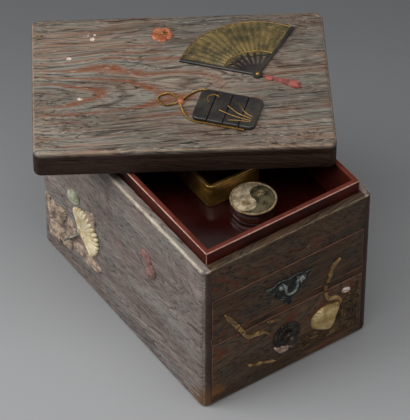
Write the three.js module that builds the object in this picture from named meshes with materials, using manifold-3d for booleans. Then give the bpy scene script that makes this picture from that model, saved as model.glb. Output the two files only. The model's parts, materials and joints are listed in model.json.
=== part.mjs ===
// A Japanese casket of weathered wood: a case with two drawers, a lacquer tray that lifts
// out of its top, a lid that stands askew on the tray's rim, and in the tray a round incense
// box and an open gold box. Inlays stand on the lid, the left side and the front.
//
// Millimetres. X runs across the front from left to right, Y from the front to the back and
// Z up. The origin is the middle of the case's underside.

import * as THREE from 'three';
import { mergeVertices } from 'three/addons/utils/BufferGeometryUtils.js';
import Module from 'manifold-3d';

const wasm = await Module();
wasm.setup();
const { degToRad } = THREE.MathUtils;

// Case
const caseWidth = 200;
const caseDepth = 294;
const caseWall = 9;
const caseCorner = 8;
const caseEdge = 4;
const bottomThickness = 12;
const lowerOpening = 72.5;
const railHeight = 8.5;
const railDepth = 24;
const dustBoardThickness = 5;
const upperOpening = 52.5;
const shelfThickness = 5.5;
const trayCompartment = 37;

// Clearances
const seatGap = 0.3;
const frontGap = 0.7;
const trayClearance = 0.6;
const pinClearance = 0.3;
const cutOverrun = 1;

// Tray
const trayWall = 6;
const trayFloor = 4;
const trayProud = 13.5;

// Lid
const lidThickness = 31;
const lidBoard = 11;
const lidTurn = degToRad(58.35);
const lidShiftX = 9;
const lidShiftY = 52;

// Drawers
const drawerFrontThickness = 12;
const drawerFrontProud = 0.4;
const drawerSide = 7;
const drawerBottom = 4;
const drawerTopGap = 4;
const drawerBackGap = 3;

// Upper drawer's handle
const handleHeight = 21.5;
const plateThickness = 1.5;
const plateHalfWidth = 28.5;
const eyeSpacing = 19;
const eyeRise = 10.5;
const eyeBore = 1.8;
const eyeWire = 0.9;
const shankRadius = 1.1;
const bailWire = 1.3;
const bailDrop = 14.5;
const bailEnd = 2.4;
const bailOverhang = 3.6;
const bailInset = 2.6;

// Lower drawer's knob
const rosetteX = -1;
const rosetteHeight = 37;
const rosetteRadius = 16.5;
const rosettePetals = 14;
const rosetteNotch = 0.1;
const rosetteThickness = 1.8;
const knobRadius = 6.2;
const knobLength = 12;
const knobNeck = 2.8;
const knobShank = 1.6;
const clinchRadius = 4.5;
const clinchThickness = 1.2;

// Round incense box
const boxRadius = 23.3;
const boxX = 9.5;
const boxToGold = 1.7;
const boxBaseHeight = 8.2;
const boxLidHeight = 7.4;
const boxWall = 2.4;
const boxCollar = 2.6;
const boxRimWidth = 1.9;
const boxRimHeight = 1.4;
const boxRimRounding = 0.6;
const boxInlayThickness = 0.9;
const boxInlayGap = 0.15;
const inlayTurn = degToRad(-78);
const boxFootRounding = 1.2;

// Gold box
const goldWidth = 62;
const goldDepth = 84;
const goldHeight = 27;
const goldWall = 4.4;
const goldFloor = 3;
const goldCorner = 6;
const goldLeft = -25.5;
const goldFront = -48;

// Inlays
const inlayThickness = 2.2;
const flowerThickness = 4;
const shellThickness = 3.4;
const fanThickness = 2.6;
const pillboxThickness = 4.2;

// Levels and faces that follow from the sizes above
const railBottom = bottomThickness + lowerOpening;
const railTop = railBottom + railHeight;
const shelfBottom = railTop + upperOpening;
const shelfTop = shelfBottom + shelfThickness;
const caseHeight = shelfTop + trayCompartment;
const innerX = caseWidth / 2 - caseWall;
const frontY = -caseDepth / 2;
const backY = caseDepth / 2;
const innerFrontY = frontY + caseWall;
const innerBackY = backY - caseWall;
const trayHalfX = innerX - trayClearance;
const trayHalfY = innerBackY - trayClearance;
const trayBottomZ = shelfTop + seatGap;
const trayRimZ = caseHeight + trayProud;
const trayFloorZ = trayBottomZ + trayFloor;
const lidZ = trayRimZ + seatGap;
const drawerFaceY = frontY - drawerFrontProud;
const boxY = goldFront - boxToGold - boxRadius;
const roundSteps = 40;

// Materials: one colour for each kind of surface
function surface(color, roughness, metalness = 0) {
  return new THREE.MeshStandardMaterial({ color, roughness, metalness });
}
const caseWood = () => surface(0x4a3a32, 0.8);
const lidWood = () => surface(0x564740, 0.85);
const drawerWood = () => surface(0x7a6248, 0.8);
const redLacquer = () => surface(0x3a0d0a, 0.15);
const brownLacquer = () => surface(0x2a1210, 0.2);
const blackLacquer = () => surface(0x1c1b1c, 0.3);
const goldLacquer = () => surface(0xa8802f, 0.3, 0.6);
const paleGold = () => surface(0xc0a266, 0.4, 0.4);
const silver = () => surface(0xb9b0a0, 0.4, 0.6);
const blackIron = () => surface(0x2d302e, 0.45, 0.8);
const ivory = () => surface(0xe2d5b2, 0.45);
const paleGreen = () => surface(0xb6b48a, 0.5);
const leafTaupe = () => surface(0x8f7c66, 0.6);
const brickRed = () => surface(0x7d3a2e, 0.5);
const coral = () => surface(0xb9572f, 0.45);
const olive = () => surface(0x6b5a35, 0.45);
const pearl = () => surface(0xd8b9a8, 0.35);

// Booleans
function toSolid(geometry) {
  const bare = geometry.clone();
  bare.deleteAttribute('normal');
  bare.deleteAttribute('uv');
  const merged = mergeVertices(bare, 1e-4);
  const vertProperties = Float32Array.from(merged.attributes.position.array);
  const triVerts = Uint32Array.from(merged.index.array);
  return new wasm.Manifold(new wasm.Mesh({ numProp: 3, vertProperties, triVerts }));
}

function toGeometry(solid) {
  const mesh = solid.getMesh();
  const geometry = new THREE.BufferGeometry();
  geometry.setAttribute('position', new THREE.BufferAttribute(mesh.vertProperties, 3));
  geometry.setIndex(new THREE.BufferAttribute(mesh.triVerts, 1));
  geometry.computeVertexNormals();
  return geometry;
}

function common(first, second) {
  return toGeometry(toSolid(first).intersect(toSolid(second)));
}

function without(body, ...cutters) {
  return toGeometry(cutters.reduce((solid, cutter) => solid.subtract(toSolid(cutter)), toSolid(body)));
}

function joined(first, ...others) {
  return toGeometry(others.reduce((solid, other) => solid.add(toSolid(other)), toSolid(first)));
}

// Basic solids
function slab(x0, x1, y0, y1, z0, z1) {
  const geometry = new THREE.BoxGeometry(x1 - x0, y1 - y0, z1 - z0);
  return geometry.translate((x0 + x1) / 2, (y0 + y1) / 2, (z0 + z1) / 2);
}

function roundedRectangle(halfX, halfY, radius) {
  const shape = new THREE.Shape();
  shape.moveTo(halfX, -halfY + radius);
  shape.lineTo(halfX, halfY - radius);
  shape.absarc(halfX - radius, halfY - radius, radius, 0, Math.PI / 2);
  shape.lineTo(-halfX + radius, halfY);
  shape.absarc(-halfX + radius, halfY - radius, radius, Math.PI / 2, Math.PI);
  shape.lineTo(-halfX, -halfY + radius);
  shape.absarc(-halfX + radius, -halfY + radius, radius, Math.PI, Math.PI * 1.5);
  shape.lineTo(halfX - radius, -halfY);
  shape.absarc(halfX - radius, -halfY + radius, radius, Math.PI * 1.5, Math.PI * 2);
  return shape;
}

// A block with round upright corners and rounded edges above and below
function softBlock(halfX, halfY, height, corner, edge) {
  const outline = roundedRectangle(halfX, halfY, corner);
  const geometry = new THREE.ExtrudeGeometry(outline, {
    depth: height - 2 * edge,
    bevelThickness: edge,
    bevelSize: edge,
    bevelOffset: -edge,
    bevelSegments: 3,
    curveSegments: 5,
  });
  return geometry.translate(0, 0, edge);
}

function raised(shape, thickness, curveSegments = 8) {
  return new THREE.ExtrudeGeometry(shape, { depth: thickness, bevelEnabled: false, curveSegments });
}

function rod(radius, length, sides = 12) {
  return new THREE.CylinderGeometry(radius, radius, length, sides);
}

function turned(profile, segments = roundSteps) {
  const points = profile.map(([radius, height]) => new THREE.Vector2(radius, height));
  return new THREE.LatheGeometry(points, segments).rotateX(Math.PI / 2);
}

function wireAlong(points, radius, steps, sides = 8) {
  const path = new THREE.CatmullRomCurve3(points.map(([x, y, z]) => new THREE.Vector3(x, y, z)));
  const section = new THREE.Shape().absarc(0, 0, radius, 0, Math.PI * 2);
  return new THREE.ExtrudeGeometry(section, { steps, extrudePath: path, curveSegments: sides });
}

// Outlines
function smoothOutline(points, count) {
  const knots = points.map(([x, y]) => new THREE.Vector3(x, y, 0));
  const curve = new THREE.CatmullRomCurve3(knots, true, 'centripetal');
  return new THREE.Shape(curve.getPoints(count).slice(0, count).map((p) => new THREE.Vector2(p.x, p.y)));
}

function polarOutline(count, radiusAt) {
  const points = [];
  for (let i = 0; i < count; i += 1) {
    const angle = (i / count) * Math.PI * 2;
    const radius = radiusAt(angle);
    points.push(new THREE.Vector2(radius * Math.cos(angle), radius * Math.sin(angle)));
  }
  return new THREE.Shape(points);
}

// A leaf that points along X, with side lobes that shrink towards the tip
function leafOutline(length, width, lobes) {
  const half = 6 * lobes;
  const edge = [];
  for (let i = 1; i < half; i += 1) {
    const t = i / half;
    const swell = Math.sin(Math.PI * t ** 0.8);
    const lobe = 0.78 + 0.22 * Math.cos(Math.PI * 2 * lobes * t);
    edge.push([length * t, (width / 2) * swell * lobe]);
  }
  const lower = edge.map(([x, y]) => [x, -y]).reverse();
  const points = [[0, 0], ...edge, [length, 0], ...lower];
  return new THREE.Shape(points.map(([x, y]) => new THREE.Vector2(x, y)));
}

// A ribbon along a few points, pointed at the ends that are free
function ribbonOutline(points, width, freeStart, freeEnd, count = 14) {
  const curve = new THREE.SplineCurve(points.map(([x, y]) => new THREE.Vector2(x, y)));
  const left = [];
  const right = [];
  for (let i = 0; i <= count; i += 1) {
    const t = i / count;
    const centre = curve.getPoint(t);
    const along = curve.getTangent(t);
    const startTaper = freeStart ? Math.min(1, 0.12 + t * 4) : 1;
    const endTaper = freeEnd ? Math.min(1, 0.12 + (1 - t) * 4) : 1;
    const wave = 0.8 + 0.2 * Math.cos(t * Math.PI * 6);
    const half = (width / 2) * startTaper * endTaper * wave;
    left.push(new THREE.Vector2(centre.x - along.y * half, centre.y + along.x * half));
    right.unshift(new THREE.Vector2(centre.x + along.y * half, centre.y - along.x * half));
  }
  return new THREE.Shape([...left, ...right]);
}

function scaled(points, size) {
  return points.map(([x, y]) => [x * size, y * size]);
}

function turnedShape(geometry, x, y, angle) {
  return geometry.rotateZ(angle).translate(x, y, 0);
}

function addPiece(group, name, geometry, material) {
  const mesh = new THREE.Mesh(geometry, material);
  mesh.name = name;
  group.add(mesh);
  return mesh;
}

// A group whose X and Y lie in a wall's face and whose Z points out of it
function faceGroup(parent, origin, acrossFace, upFace) {
  const group = new THREE.Group();
  const outward = new THREE.Vector3().crossVectors(acrossFace, upFace);
  group.quaternion.setFromRotationMatrix(new THREE.Matrix4().makeBasis(acrossFace, upFace, outward));
  group.position.copy(origin);
  parent.add(group);
  return group;
}

const casket = new THREE.Group();
const caseGroup = new THREE.Group();
casket.add(caseGroup);

function makeCase() {
  const block = softBlock(caseWidth / 2, caseDepth / 2, caseHeight, caseCorner, caseEdge);
  const halfX = caseWidth / 2;
  const outX = halfX + cutOverrun;
  const outFrontY = frontY - cutOverrun;
  const outBackY = backY + cutOverrun;
  const dustBoardBottom = railTop - dustBoardThickness;
  const leftSide = slab(-outX, -innerX, outFrontY, outBackY, 0, caseHeight);
  const rightSide = slab(innerX, outX, outFrontY, outBackY, 0, caseHeight);
  const back = slab(-innerX, innerX, innerBackY, outBackY, 0, caseHeight);
  const bottom = slab(-innerX, innerX, outFrontY, innerBackY, 0, bottomThickness);
  const band = slab(-innerX, innerX, outFrontY, innerFrontY, shelfBottom, caseHeight);
  const shelf = slab(-innerX, innerX, innerFrontY, innerBackY, shelfBottom, shelfTop);
  const rail = slab(-innerX, innerX, frontY, frontY + railDepth, railBottom, railTop);
  const dustBoard = slab(-innerX, innerX, frontY + railDepth, innerBackY, dustBoardBottom, railTop);
  addPiece(caseGroup, 'case_left_side', common(block, leftSide), caseWood());
  addPiece(caseGroup, 'case_right_side', common(block, rightSide), caseWood());
  addPiece(caseGroup, 'case_back', common(block, back), caseWood());
  addPiece(caseGroup, 'case_bottom', common(block, bottom), caseWood());
  addPiece(caseGroup, 'case_front_band', common(block, band), caseWood());
  addPiece(caseGroup, 'tray_shelf', shelf, drawerWood());
  addPiece(caseGroup, 'divider_rail', rail, caseWood());
  addPiece(caseGroup, 'dust_board', dustBoard, drawerWood());
}

// Four walls with mitred corners around a floor
function makeTray() {
  const group = new THREE.Group();
  casket.add(group);
  const insideX = trayHalfX - trayWall;
  const insideY = trayHalfY - trayWall;
  const wallHeight = trayRimZ - trayBottomZ;
  const longWall = new THREE.Shape();
  longWall.moveTo(trayHalfX, -trayHalfY);
  longWall.lineTo(trayHalfX, trayHalfY);
  longWall.lineTo(insideX, insideY);
  longWall.lineTo(insideX, -insideY);
  const shortWall = new THREE.Shape();
  shortWall.moveTo(-trayHalfX, trayHalfY);
  shortWall.lineTo(-insideX, insideY);
  shortWall.lineTo(insideX, insideY);
  shortWall.lineTo(trayHalfX, trayHalfY);
  const right = raised(longWall, wallHeight).translate(0, 0, trayBottomZ);
  const back = raised(shortWall, wallHeight).translate(0, 0, trayBottomZ);
  const floor = slab(-insideX, insideX, -insideY, insideY, trayBottomZ, trayFloorZ);
  addPiece(group, 'tray_floor', floor, redLacquer());
  addPiece(group, 'tray_right_wall', right, redLacquer());
  addPiece(group, 'tray_left_wall', right.clone().rotateZ(Math.PI), redLacquer());
  addPiece(group, 'tray_back_wall', back, redLacquer());
  addPiece(group, 'tray_front_wall', back.clone().rotateZ(Math.PI), redLacquer());
}

// A board with four walls below it, as wide and deep as the case
function makeLid() {
  const group = new THREE.Group();
  group.position.set(lidShiftX, lidShiftY, lidZ);
  group.rotation.z = lidTurn;
  casket.add(group);
  const halfX = caseWidth / 2;
  const skirt = lidThickness - lidBoard;
  const block = softBlock(halfX, caseDepth / 2, lidThickness, caseCorner, caseEdge);
  const outX = halfX + cutOverrun;
  const outY = caseDepth / 2 + cutOverrun;
  const board = slab(-outX, outX, -outY, outY, skirt, lidThickness);
  const rightWall = slab(innerX, outX, -outY, outY, 0, skirt);
  const backWall = slab(-innerX, innerX, innerBackY, outY, 0, skirt);
  const right = common(block, rightWall);
  const back = common(block, backWall);
  addPiece(group, 'lid_board', common(block, board), lidWood());
  addPiece(group, 'lid_right_wall', right, lidWood());
  addPiece(group, 'lid_left_wall', right.clone().rotateZ(Math.PI), lidWood());
  addPiece(group, 'lid_back_wall', back, lidWood());
  addPiece(group, 'lid_front_wall', back.clone().rotateZ(Math.PI), lidWood());
  makeLidInlays(group);
}

// An open fan, a small tiered case on its cord, and a blossom. U runs along the lid's length
// and V across it.
function makeLidInlays(lidGroup) {
  const picture = new THREE.Group();
  picture.rotation.z = -Math.PI / 2;
  picture.position.z = lidThickness;
  lidGroup.add(picture);
  makeFan(picture);
  makePillbox(picture);
  makeBlossom(picture);
}

const blossomU = -16;
const blossomV = 70;
const blossomTurn = degToRad(17);
const blossomRadius = 11;
const blossomNotch = 0.34;
const blossomPetals = 5;

function makeBlossom(picture) {
  const petalEdge = (angle) => {
    const lobe = Math.abs(Math.cos(blossomPetals * angle / 2));
    return blossomRadius * (1 - blossomNotch + blossomNotch * lobe);
  };
  const blossom = raised(polarOutline(blossomPetals * 9, petalEdge), fanThickness);
  addPiece(picture, 'lid_blossom', turnedShape(blossom, blossomU, blossomV, blossomTurn), coral());
}

const fanPivotU = 76;
const fanPivotV = 4;
const fanHead = 5;
const fanInner = 34;
const fanOuter = 80;
const fanStart = degToRad(62);
const fanEnd = degToRad(160);
const fanSticks = 8;
const stickWidth = 2.6;
const stickThickness = 1.8;
const guardWidth = 3.6;
const tasselGap = 1.4;
const tasselTurn = degToRad(-22);
const tasselLength = 33;

// The tassel's edge, in shares of its length
const tasselEdge = [
  [0, 0.091], [0.303, 0.03], [0.606, 0.136], [0.939, 0.182],
  [1, -0.121], [0.636, -0.106], [0.303, -0.076], [0, -0.091],
];

function makeFan(picture) {
  const leaf = new THREE.Shape();
  leaf.absarc(0, 0, fanOuter, fanStart, fanEnd, false);
  leaf.absarc(0, 0, fanInner, fanEnd, fanStart, true);
  const leafGeometry = raised(leaf, fanThickness, 16);
  addPiece(picture, 'lid_fan_leaf', leafGeometry.translate(fanPivotU, fanPivotV, 0), olive());

  const head = rod(fanHead, fanThickness, 16).rotateX(Math.PI / 2).translate(0, 0, fanThickness / 2);
  const stickLength = fanInner - seatGap;
  const sticks = [];
  for (let i = 0; i < fanSticks; i += 1) {
    const angle = fanStart + ((i + 0.5) / fanSticks) * (fanEnd - fanStart);
    const stick = slab(0, stickLength, -stickWidth / 2, stickWidth / 2, 0, stickThickness);
    sticks.push(stick.rotateZ(angle));
  }
  for (const [edge, side] of [[fanStart, -1], [fanEnd, 1]]) {
    const offset = side * (seatGap + guardWidth / 2);
    const guard = slab(0, fanOuter, offset - guardWidth / 2, offset + guardWidth / 2, 0, fanThickness);
    sticks.push(guard.rotateZ(edge));
  }
  const frame = joined(head, ...sticks).translate(fanPivotU, fanPivotV, 0);
  addPiece(picture, 'lid_fan_sticks', frame, caseWood());

  const tassel = raised(smoothOutline(scaled(tasselEdge, tasselLength), 28), inlayThickness);
  tassel.translate(fanHead + tasselGap, 0, 0).rotateZ(tasselTurn);
  addPiece(picture, 'lid_fan_tassel', tassel.translate(fanPivotU, fanPivotV, 0), brickRed());
}

const pillboxU = 44;
const pillboxV = -47;
const pillboxTurn = degToRad(72);
const pillboxHalfWidth = 22;
const pillboxHalfHeight = 32;
const pillboxCorner = 7;
const pillboxTiers = 4;
const pillboxGroove = 0.7;
const cordWire = 1.3;
const beadRadius = 3.6;
const beadDistance = 16;
const loopLength = 23;
const loopHalfWidth = 9;

function makePillbox(picture) {
  const group = new THREE.Group();
  group.position.set(pillboxU, pillboxV, 0);
  group.rotation.z = pillboxTurn;
  picture.add(group);
  const outline = roundedRectangle(pillboxHalfWidth, pillboxHalfHeight, pillboxCorner);
  const half = pillboxHalfWidth + cutOverrun;
  const grooves = [];
  for (let i = 1; i < pillboxTiers; i += 1) {
    const y = -pillboxHalfHeight + (i / pillboxTiers) * pillboxHalfHeight * 2;
    const groove = slab(-half, half, -pillboxGroove / 2, pillboxGroove / 2, 0, pillboxThickness);
    grooves.push(groove.translate(0, y, pillboxThickness - pillboxGroove));
  }
  addPiece(group, 'lid_pillbox', without(raised(outline, pillboxThickness, 6), ...grooves), blackLacquer());

  const beadY = pillboxHalfHeight + beadDistance;
  const side = pillboxHalfWidth + cordWire + seatGap;
  const cords = [];
  for (const sign of [-1, 1]) {
    const run = [
      [sign * side, -pillboxHalfHeight * 0.7, cordWire],
      [sign * side, 0, cordWire],
      [sign * side, pillboxHalfHeight * 0.9, cordWire],
      [sign * pillboxHalfWidth * 0.7, pillboxHalfHeight + beadDistance * 0.5, cordWire],
      [sign * cordWire, beadY, cordWire],
    ];
    cords.push(wireAlong(run, cordWire, 14, 4));
  }
  const loop = [
    [-cordWire, beadY, cordWire],
    [-loopHalfWidth, beadY + loopLength * 0.6, cordWire],
    [0, beadY + loopLength, cordWire],
    [loopHalfWidth, beadY + loopLength * 0.6, cordWire],
    [cordWire, beadY, cordWire],
  ];
  cords.push(wireAlong(loop, cordWire, 18, 4));
  const bead = new THREE.CylinderGeometry(beadRadius * 0.7, beadRadius, beadRadius, 14);
  bead.rotateX(Math.PI / 2).translate(0, beadY, beadRadius / 2);
  addPiece(group, 'lid_pillbox_cord', joined(bead, ...cords), goldLacquer());
}

// A drawer: a front board, and behind it two sides and a back that stand on a bottom board
function makeDrawer(name, floorZ, opening, frontHoles) {
  const group = new THREE.Group();
  casket.add(group);
  const halfX = innerX - frontGap;
  const bottomZ = floorZ + seatGap;
  const topZ = floorZ + opening - frontGap;
  const boxTopZ = floorZ + opening - drawerTopGap;
  const boxFrontY = drawerFaceY + drawerFrontThickness;
  const boxBackY = innerBackY - drawerBackGap;
  const boardTopZ = bottomZ + drawerBottom;
  const front = slab(-halfX, halfX, drawerFaceY, boxFrontY, bottomZ, topZ);
  const left = slab(-halfX, -halfX + drawerSide, boxFrontY, boxBackY, boardTopZ, boxTopZ);
  const right = slab(halfX - drawerSide, halfX, boxFrontY, boxBackY, boardTopZ, boxTopZ);
  const backHalfX = halfX - drawerSide;
  const back = slab(-backHalfX, backHalfX, boxBackY - drawerSide, boxBackY, boardTopZ, boxTopZ);
  const bottom = slab(-halfX, halfX, boxFrontY, boxBackY, bottomZ, boardTopZ);
  addPiece(group, `${name}_front`, without(front, ...frontHoles), caseWood());
  addPiece(group, `${name}_left`, left, drawerWood());
  addPiece(group, `${name}_right`, right, drawerWood());
  addPiece(group, `${name}_back`, back, drawerWood());
  addPiece(group, `${name}_bottom`, bottom, drawerWood());
  return group;
}

// A hole from the front to the back through a board or plate whose face is at faceY
function frontHole(x, z, radius, faceY, depth) {
  return rod(radius, depth + 2 * cutOverrun).translate(x, faceY + depth / 2, z);
}

const handleZ = railTop + handleHeight;
const plateFaceY = drawerFaceY - plateThickness;
const eyeRadius = eyeBore + eyeWire;
const eyeY = plateFaceY - eyeRadius - eyeWire;
const eyeZ = handleZ + eyeRise;

// Half of the handle plate's edge, from the middle of its top to the tip of its tail, in
// shares of its half width
const plateEdge = [
  [0, 0.463], [0.175, 0.526], [0.456, 0.526], [0.702, 0.414], [1, 0.421], [0.772, 0.14],
  [0.544, 0.053], [0.526, -0.211], [0.333, -0.386], [0.193, -0.456], [0.14, -0.667], [0, -0.807],
];

function makeUpperDrawer() {
  const eyes = [-eyeSpacing / 2, eyeSpacing / 2];
  const hole = shankRadius + pinClearance;
  const holes = eyes.map((x) => frontHole(x, eyeZ, hole, drawerFaceY, drawerFrontThickness));
  const group = makeDrawer('upper_drawer', railTop, upperOpening, holes);

  const mirrored = plateEdge.slice(1, -1).map(([x, y]) => [-x, y]).reverse();
  const outline = smoothOutline(scaled([...plateEdge, ...mirrored], plateHalfWidth), 66);
  const plate = raised(outline, plateThickness).rotateX(Math.PI / 2);
  plate.translate(0, drawerFaceY, handleZ);
  const plateHoles = eyes.map((x) => frontHole(x, eyeZ, hole, plateFaceY, plateThickness));
  addPiece(group, 'handle_plate', without(plate, ...plateHoles), blackIron());

  eyes.forEach((x, index) => {
    const ring = new THREE.TorusGeometry(eyeRadius, eyeWire, 8, 16).rotateY(Math.PI / 2);
    const clinchY = drawerFaceY + drawerFrontThickness + seatGap;
    const shankFrontY = plateFaceY - eyeWire;
    const shankLength = clinchY + clinchThickness - shankFrontY;
    const shank = rod(shankRadius, shankLength, 10).translate(0, shankFrontY + shankLength / 2 - eyeY, 0);
    const clinch = rod(shankRadius * 2.4, clinchThickness, 10);
    clinch.translate(0, clinchY + clinchThickness / 2 - eyeY, 0);
    const staple = joined(ring, shank, clinch).translate(x, eyeY, eyeZ);
    addPiece(group, index === 0 ? 'handle_eye_left' : 'handle_eye_right', staple, blackIron());
  });

  makeBail();
  makeUpperSeaweed(group);
}

// A bail that hangs from the two eyes, with round ends outside them
function makeBail() {
  const outer = eyeSpacing / 2 + bailOverhang;
  const inner = eyeSpacing / 2 - bailInset;
  const half = [
    [outer, 0, 0],
    [eyeSpacing / 2, 0, 0],
    [inner - bailWire * 0.3, 0, -bailWire * 1.2],
    [inner, 0, -bailDrop * 0.5],
    [inner * 0.62, 0, -bailDrop * 0.9],
  ];
  const mirrored = half.map(([x, y, z]) => [-x, y, z]);
  const route = [...mirrored, [0, 0, -bailDrop], ...half.reverse()];
  const wire = wireAlong(route, bailWire, 40, 4);
  const ends = [-1, 1].map((side) => {
    return new THREE.SphereGeometry(bailEnd, 12, 8).translate(side * outer, 0, 0);
  });
  const bail = joined(wire, ...ends).translate(0, eyeY, eyeZ);
  addPiece(casket, 'handle_bail', bail, blackIron());
}

// Two seaweed ribbons that start on the upper drawer and go on below the rail. The left one
// is placed from the middle of the front, because it ends beside the knob, and the right one
// from the opening's right end. Heights are above the opening's floor on the upper drawer,
// and below the opening's top on the lower drawer.
const leftWeedWidth = 6.5;
const leftWeed = [[-74, 22.5], [-66, 11], [-61.5, 3]];
const leftWeedLower = [[-53.5, -1.3], [-51, -7.5], [-46.5, -14.5], [-36, -14.5], [-28, -16.5], [-20, -25.5]];
const rightWeedWidth = 5;
const rightWeed = [[-25, 25], [-32, 17], [-34.5, 10], [-38.5, 2]];
const rightWeedLower = [[-42, -1.3], [-41.5, -7.5], [-38, -13.5], [-32, -14.5], [-26, -21.5], [-24.5, -28]];

// A drawer's face: its X runs across from distance x, its Y runs up from height z
function frontFace(parent, x, z) {
  const origin = new THREE.Vector3(x, drawerFaceY, z);
  return faceGroup(parent, origin, new THREE.Vector3(1, 0, 0), new THREE.Vector3(0, 0, 1));
}

function makeUpperSeaweed(group) {
  const left = raised(ribbonOutline(leftWeed, leftWeedWidth, true, false), inlayThickness);
  const right = raised(ribbonOutline(rightWeed, rightWeedWidth, true, false), inlayThickness);
  addPiece(frontFace(group, 0, railTop), 'upper_drawer_seaweed_left', left, paleGold());
  addPiece(frontFace(group, innerX, railTop), 'upper_drawer_seaweed_right', right, paleGold());
}

function makeLowerDrawer() {
  const rosetteZ = bottomThickness + rosetteHeight;
  const boreRadius = knobShank + pinClearance;
  const hole = frontHole(rosetteX, rosetteZ, boreRadius, drawerFaceY, drawerFrontThickness);
  const group = makeDrawer('lower_drawer', bottomThickness, lowerOpening, [hole]);
  const face = frontFace(group, 0, bottomThickness);

  const petalEdge = (angle) => {
    const lobe = Math.abs(Math.cos(rosettePetals * angle / 2));
    return rosetteRadius * (1 - rosetteNotch + rosetteNotch * lobe);
  };
  const disc = raised(polarOutline(rosettePetals * 6, petalEdge), rosetteThickness);
  const bore = rod(boreRadius, rosetteThickness + 2 * cutOverrun).rotateX(Math.PI / 2);
  const rosette = without(disc, bore.translate(0, 0, rosetteThickness / 2));
  addPiece(face, 'knob_rosette', rosette.translate(rosetteX, rosetteHeight, 0), blackIron());

  const neckStart = rosetteThickness + seatGap;
  const clinchStart = -drawerFrontThickness - seatGap;
  const head = neckStart + knobLength;
  const profile = [
    [0, clinchStart - clinchThickness],
    [clinchRadius, clinchStart - clinchThickness],
    [clinchRadius, clinchStart],
    [knobShank, clinchStart],
    [knobShank, neckStart],
    [knobNeck * 1.35, neckStart],
    [knobNeck, neckStart + knobLength * 0.25],
    [knobNeck, neckStart + knobLength * 0.4],
    [knobRadius, neckStart + knobLength * 0.62],
    [knobRadius * 0.92, neckStart + knobLength * 0.82],
    [knobRadius * 0.55, neckStart + knobLength * 0.95],
    [0, head],
  ];
  addPiece(face, 'knob', turned(profile, 20).translate(rosetteX, rosetteHeight, 0), blackIron());
  makeLowerInlays(group);
}

const shellSwell = 0.16;
const scallopDepth = 0.035;

// A fan-shaped shell: its hinge is at the origin and its ribs end in a scalloped edge
function shellOutline(length, startAngle, endAngle, ribs) {
  const points = [new THREE.Vector2(0, 0)];
  const count = ribs * 5;
  for (let i = 0; i <= count; i += 1) {
    const t = i / count;
    const angle = startAngle + t * (endAngle - startAngle);
    const swell = 1 - shellSwell + shellSwell * Math.sin(Math.PI * t);
    const scallop = 1 - scallopDepth * Math.abs(Math.cos(Math.PI * ribs * t));
    const radius = length * swell * scallop;
    points.push(new THREE.Vector2(radius * Math.cos(angle), radius * Math.sin(angle)));
  }
  return new THREE.Shape(points);
}

// Heights on the lower drawer are above the floor of its opening. The gold and the white
// shell are placed from the opening's right end, the others from the middle of the front.
const goldShellInset = 24.5;
const goldShellHeight = 41;
const goldShellLength = 35;
const whiteShellInset = 20.5;
const whiteShellHeight = 50.5;
const whiteShellLength = 10;
const whiteShellWidth = 6;
const whiteShellTurn = degToRad(28);
const pinkShellX = -1.5;
const pinkShellHeight = 18.5;
const pinkShellLength = 14;
const twigWidth = 4.5;
const twigRoute = [[-43, 17], [-33, 12], [-22, 7.5], [-10, 4]];

function makeLowerInlays(group) {
  const face = frontFace(group, 0, bottomThickness);
  const rightFace = frontFace(group, innerX, bottomThickness);
  const leftOutline = ribbonOutline(leftWeedLower, leftWeedWidth * 0.85, false, true, 20);
  const rightOutline = ribbonOutline(rightWeedLower, rightWeedWidth, false, true, 20);
  const left = raised(leftOutline, inlayThickness).translate(0, lowerOpening, 0);
  const right = raised(rightOutline, inlayThickness).translate(0, lowerOpening, 0);
  addPiece(face, 'lower_drawer_seaweed_left', left, paleGold());
  addPiece(rightFace, 'lower_drawer_seaweed_right', right, paleGold());
  const goldShell = raised(shellOutline(goldShellLength, degToRad(188), degToRad(246), 9), shellThickness);
  addPiece(rightFace, 'gold_shell', goldShell.translate(-goldShellInset, goldShellHeight, 0), paleGold());
  const whiteShell = raised(leafOutline(whiteShellLength, whiteShellWidth, 1), inlayThickness);
  turnedShape(whiteShell, -whiteShellInset, whiteShellHeight, whiteShellTurn);
  addPiece(rightFace, 'white_shell', whiteShell, ivory());
  const pinkShell = raised(shellOutline(pinkShellLength, degToRad(200), degToRad(300), 6), inlayThickness);
  addPiece(face, 'pink_shell', pinkShell.translate(pinkShellX, pinkShellHeight, 0), pearl());
  const twig = raised(ribbonOutline(twigRoute, twigWidth, true, true), inlayThickness);
  addPiece(face, 'gold_twig', twig, paleGold());
}

// The left side's spray of chrysanthemum. A runs towards the front from the rear edge, and
// B up from the underside.
const hubA = 71;
const hubB = 63;
const hubRadius = 4.5;
const flowerStart = degToRad(-24);
const flowerEnd = degToRad(118);
const flowerPetals = 15;
const flowerShort = 26;
const flowerLong = 43;
const flowerSkew = 1.3;
const petalNotch = 0.05;
const budA = 61;
const budB = 110.5;
const budRadius = 8.2;
const budStretch = 2;
const budTurn = degToRad(12);
const leafLobes = 3;
const rearLeafA = 42;
const rearLeafB = 54;
const rearLeafLength = 38;
const rearLeafWidth = 28;
const lowLeafA = 51;
const lowLeafB = 33;
const lowLeafLength = 42;
const lowLeafWidth = 19;
const frontLeafA = 56;
const frontLeafB = 42;
const frontLeafLength = 55;
const frontLeafWidth = 13;
const smallLeafA = 88;
const smallLeafB = 111;
const smallLeafLength = 19;
const smallLeafWidth = 9.5;
const stemWidth = 3;
const gourdA = -94;
const gourdB = -66;
const gourdHeight = 36;

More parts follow.
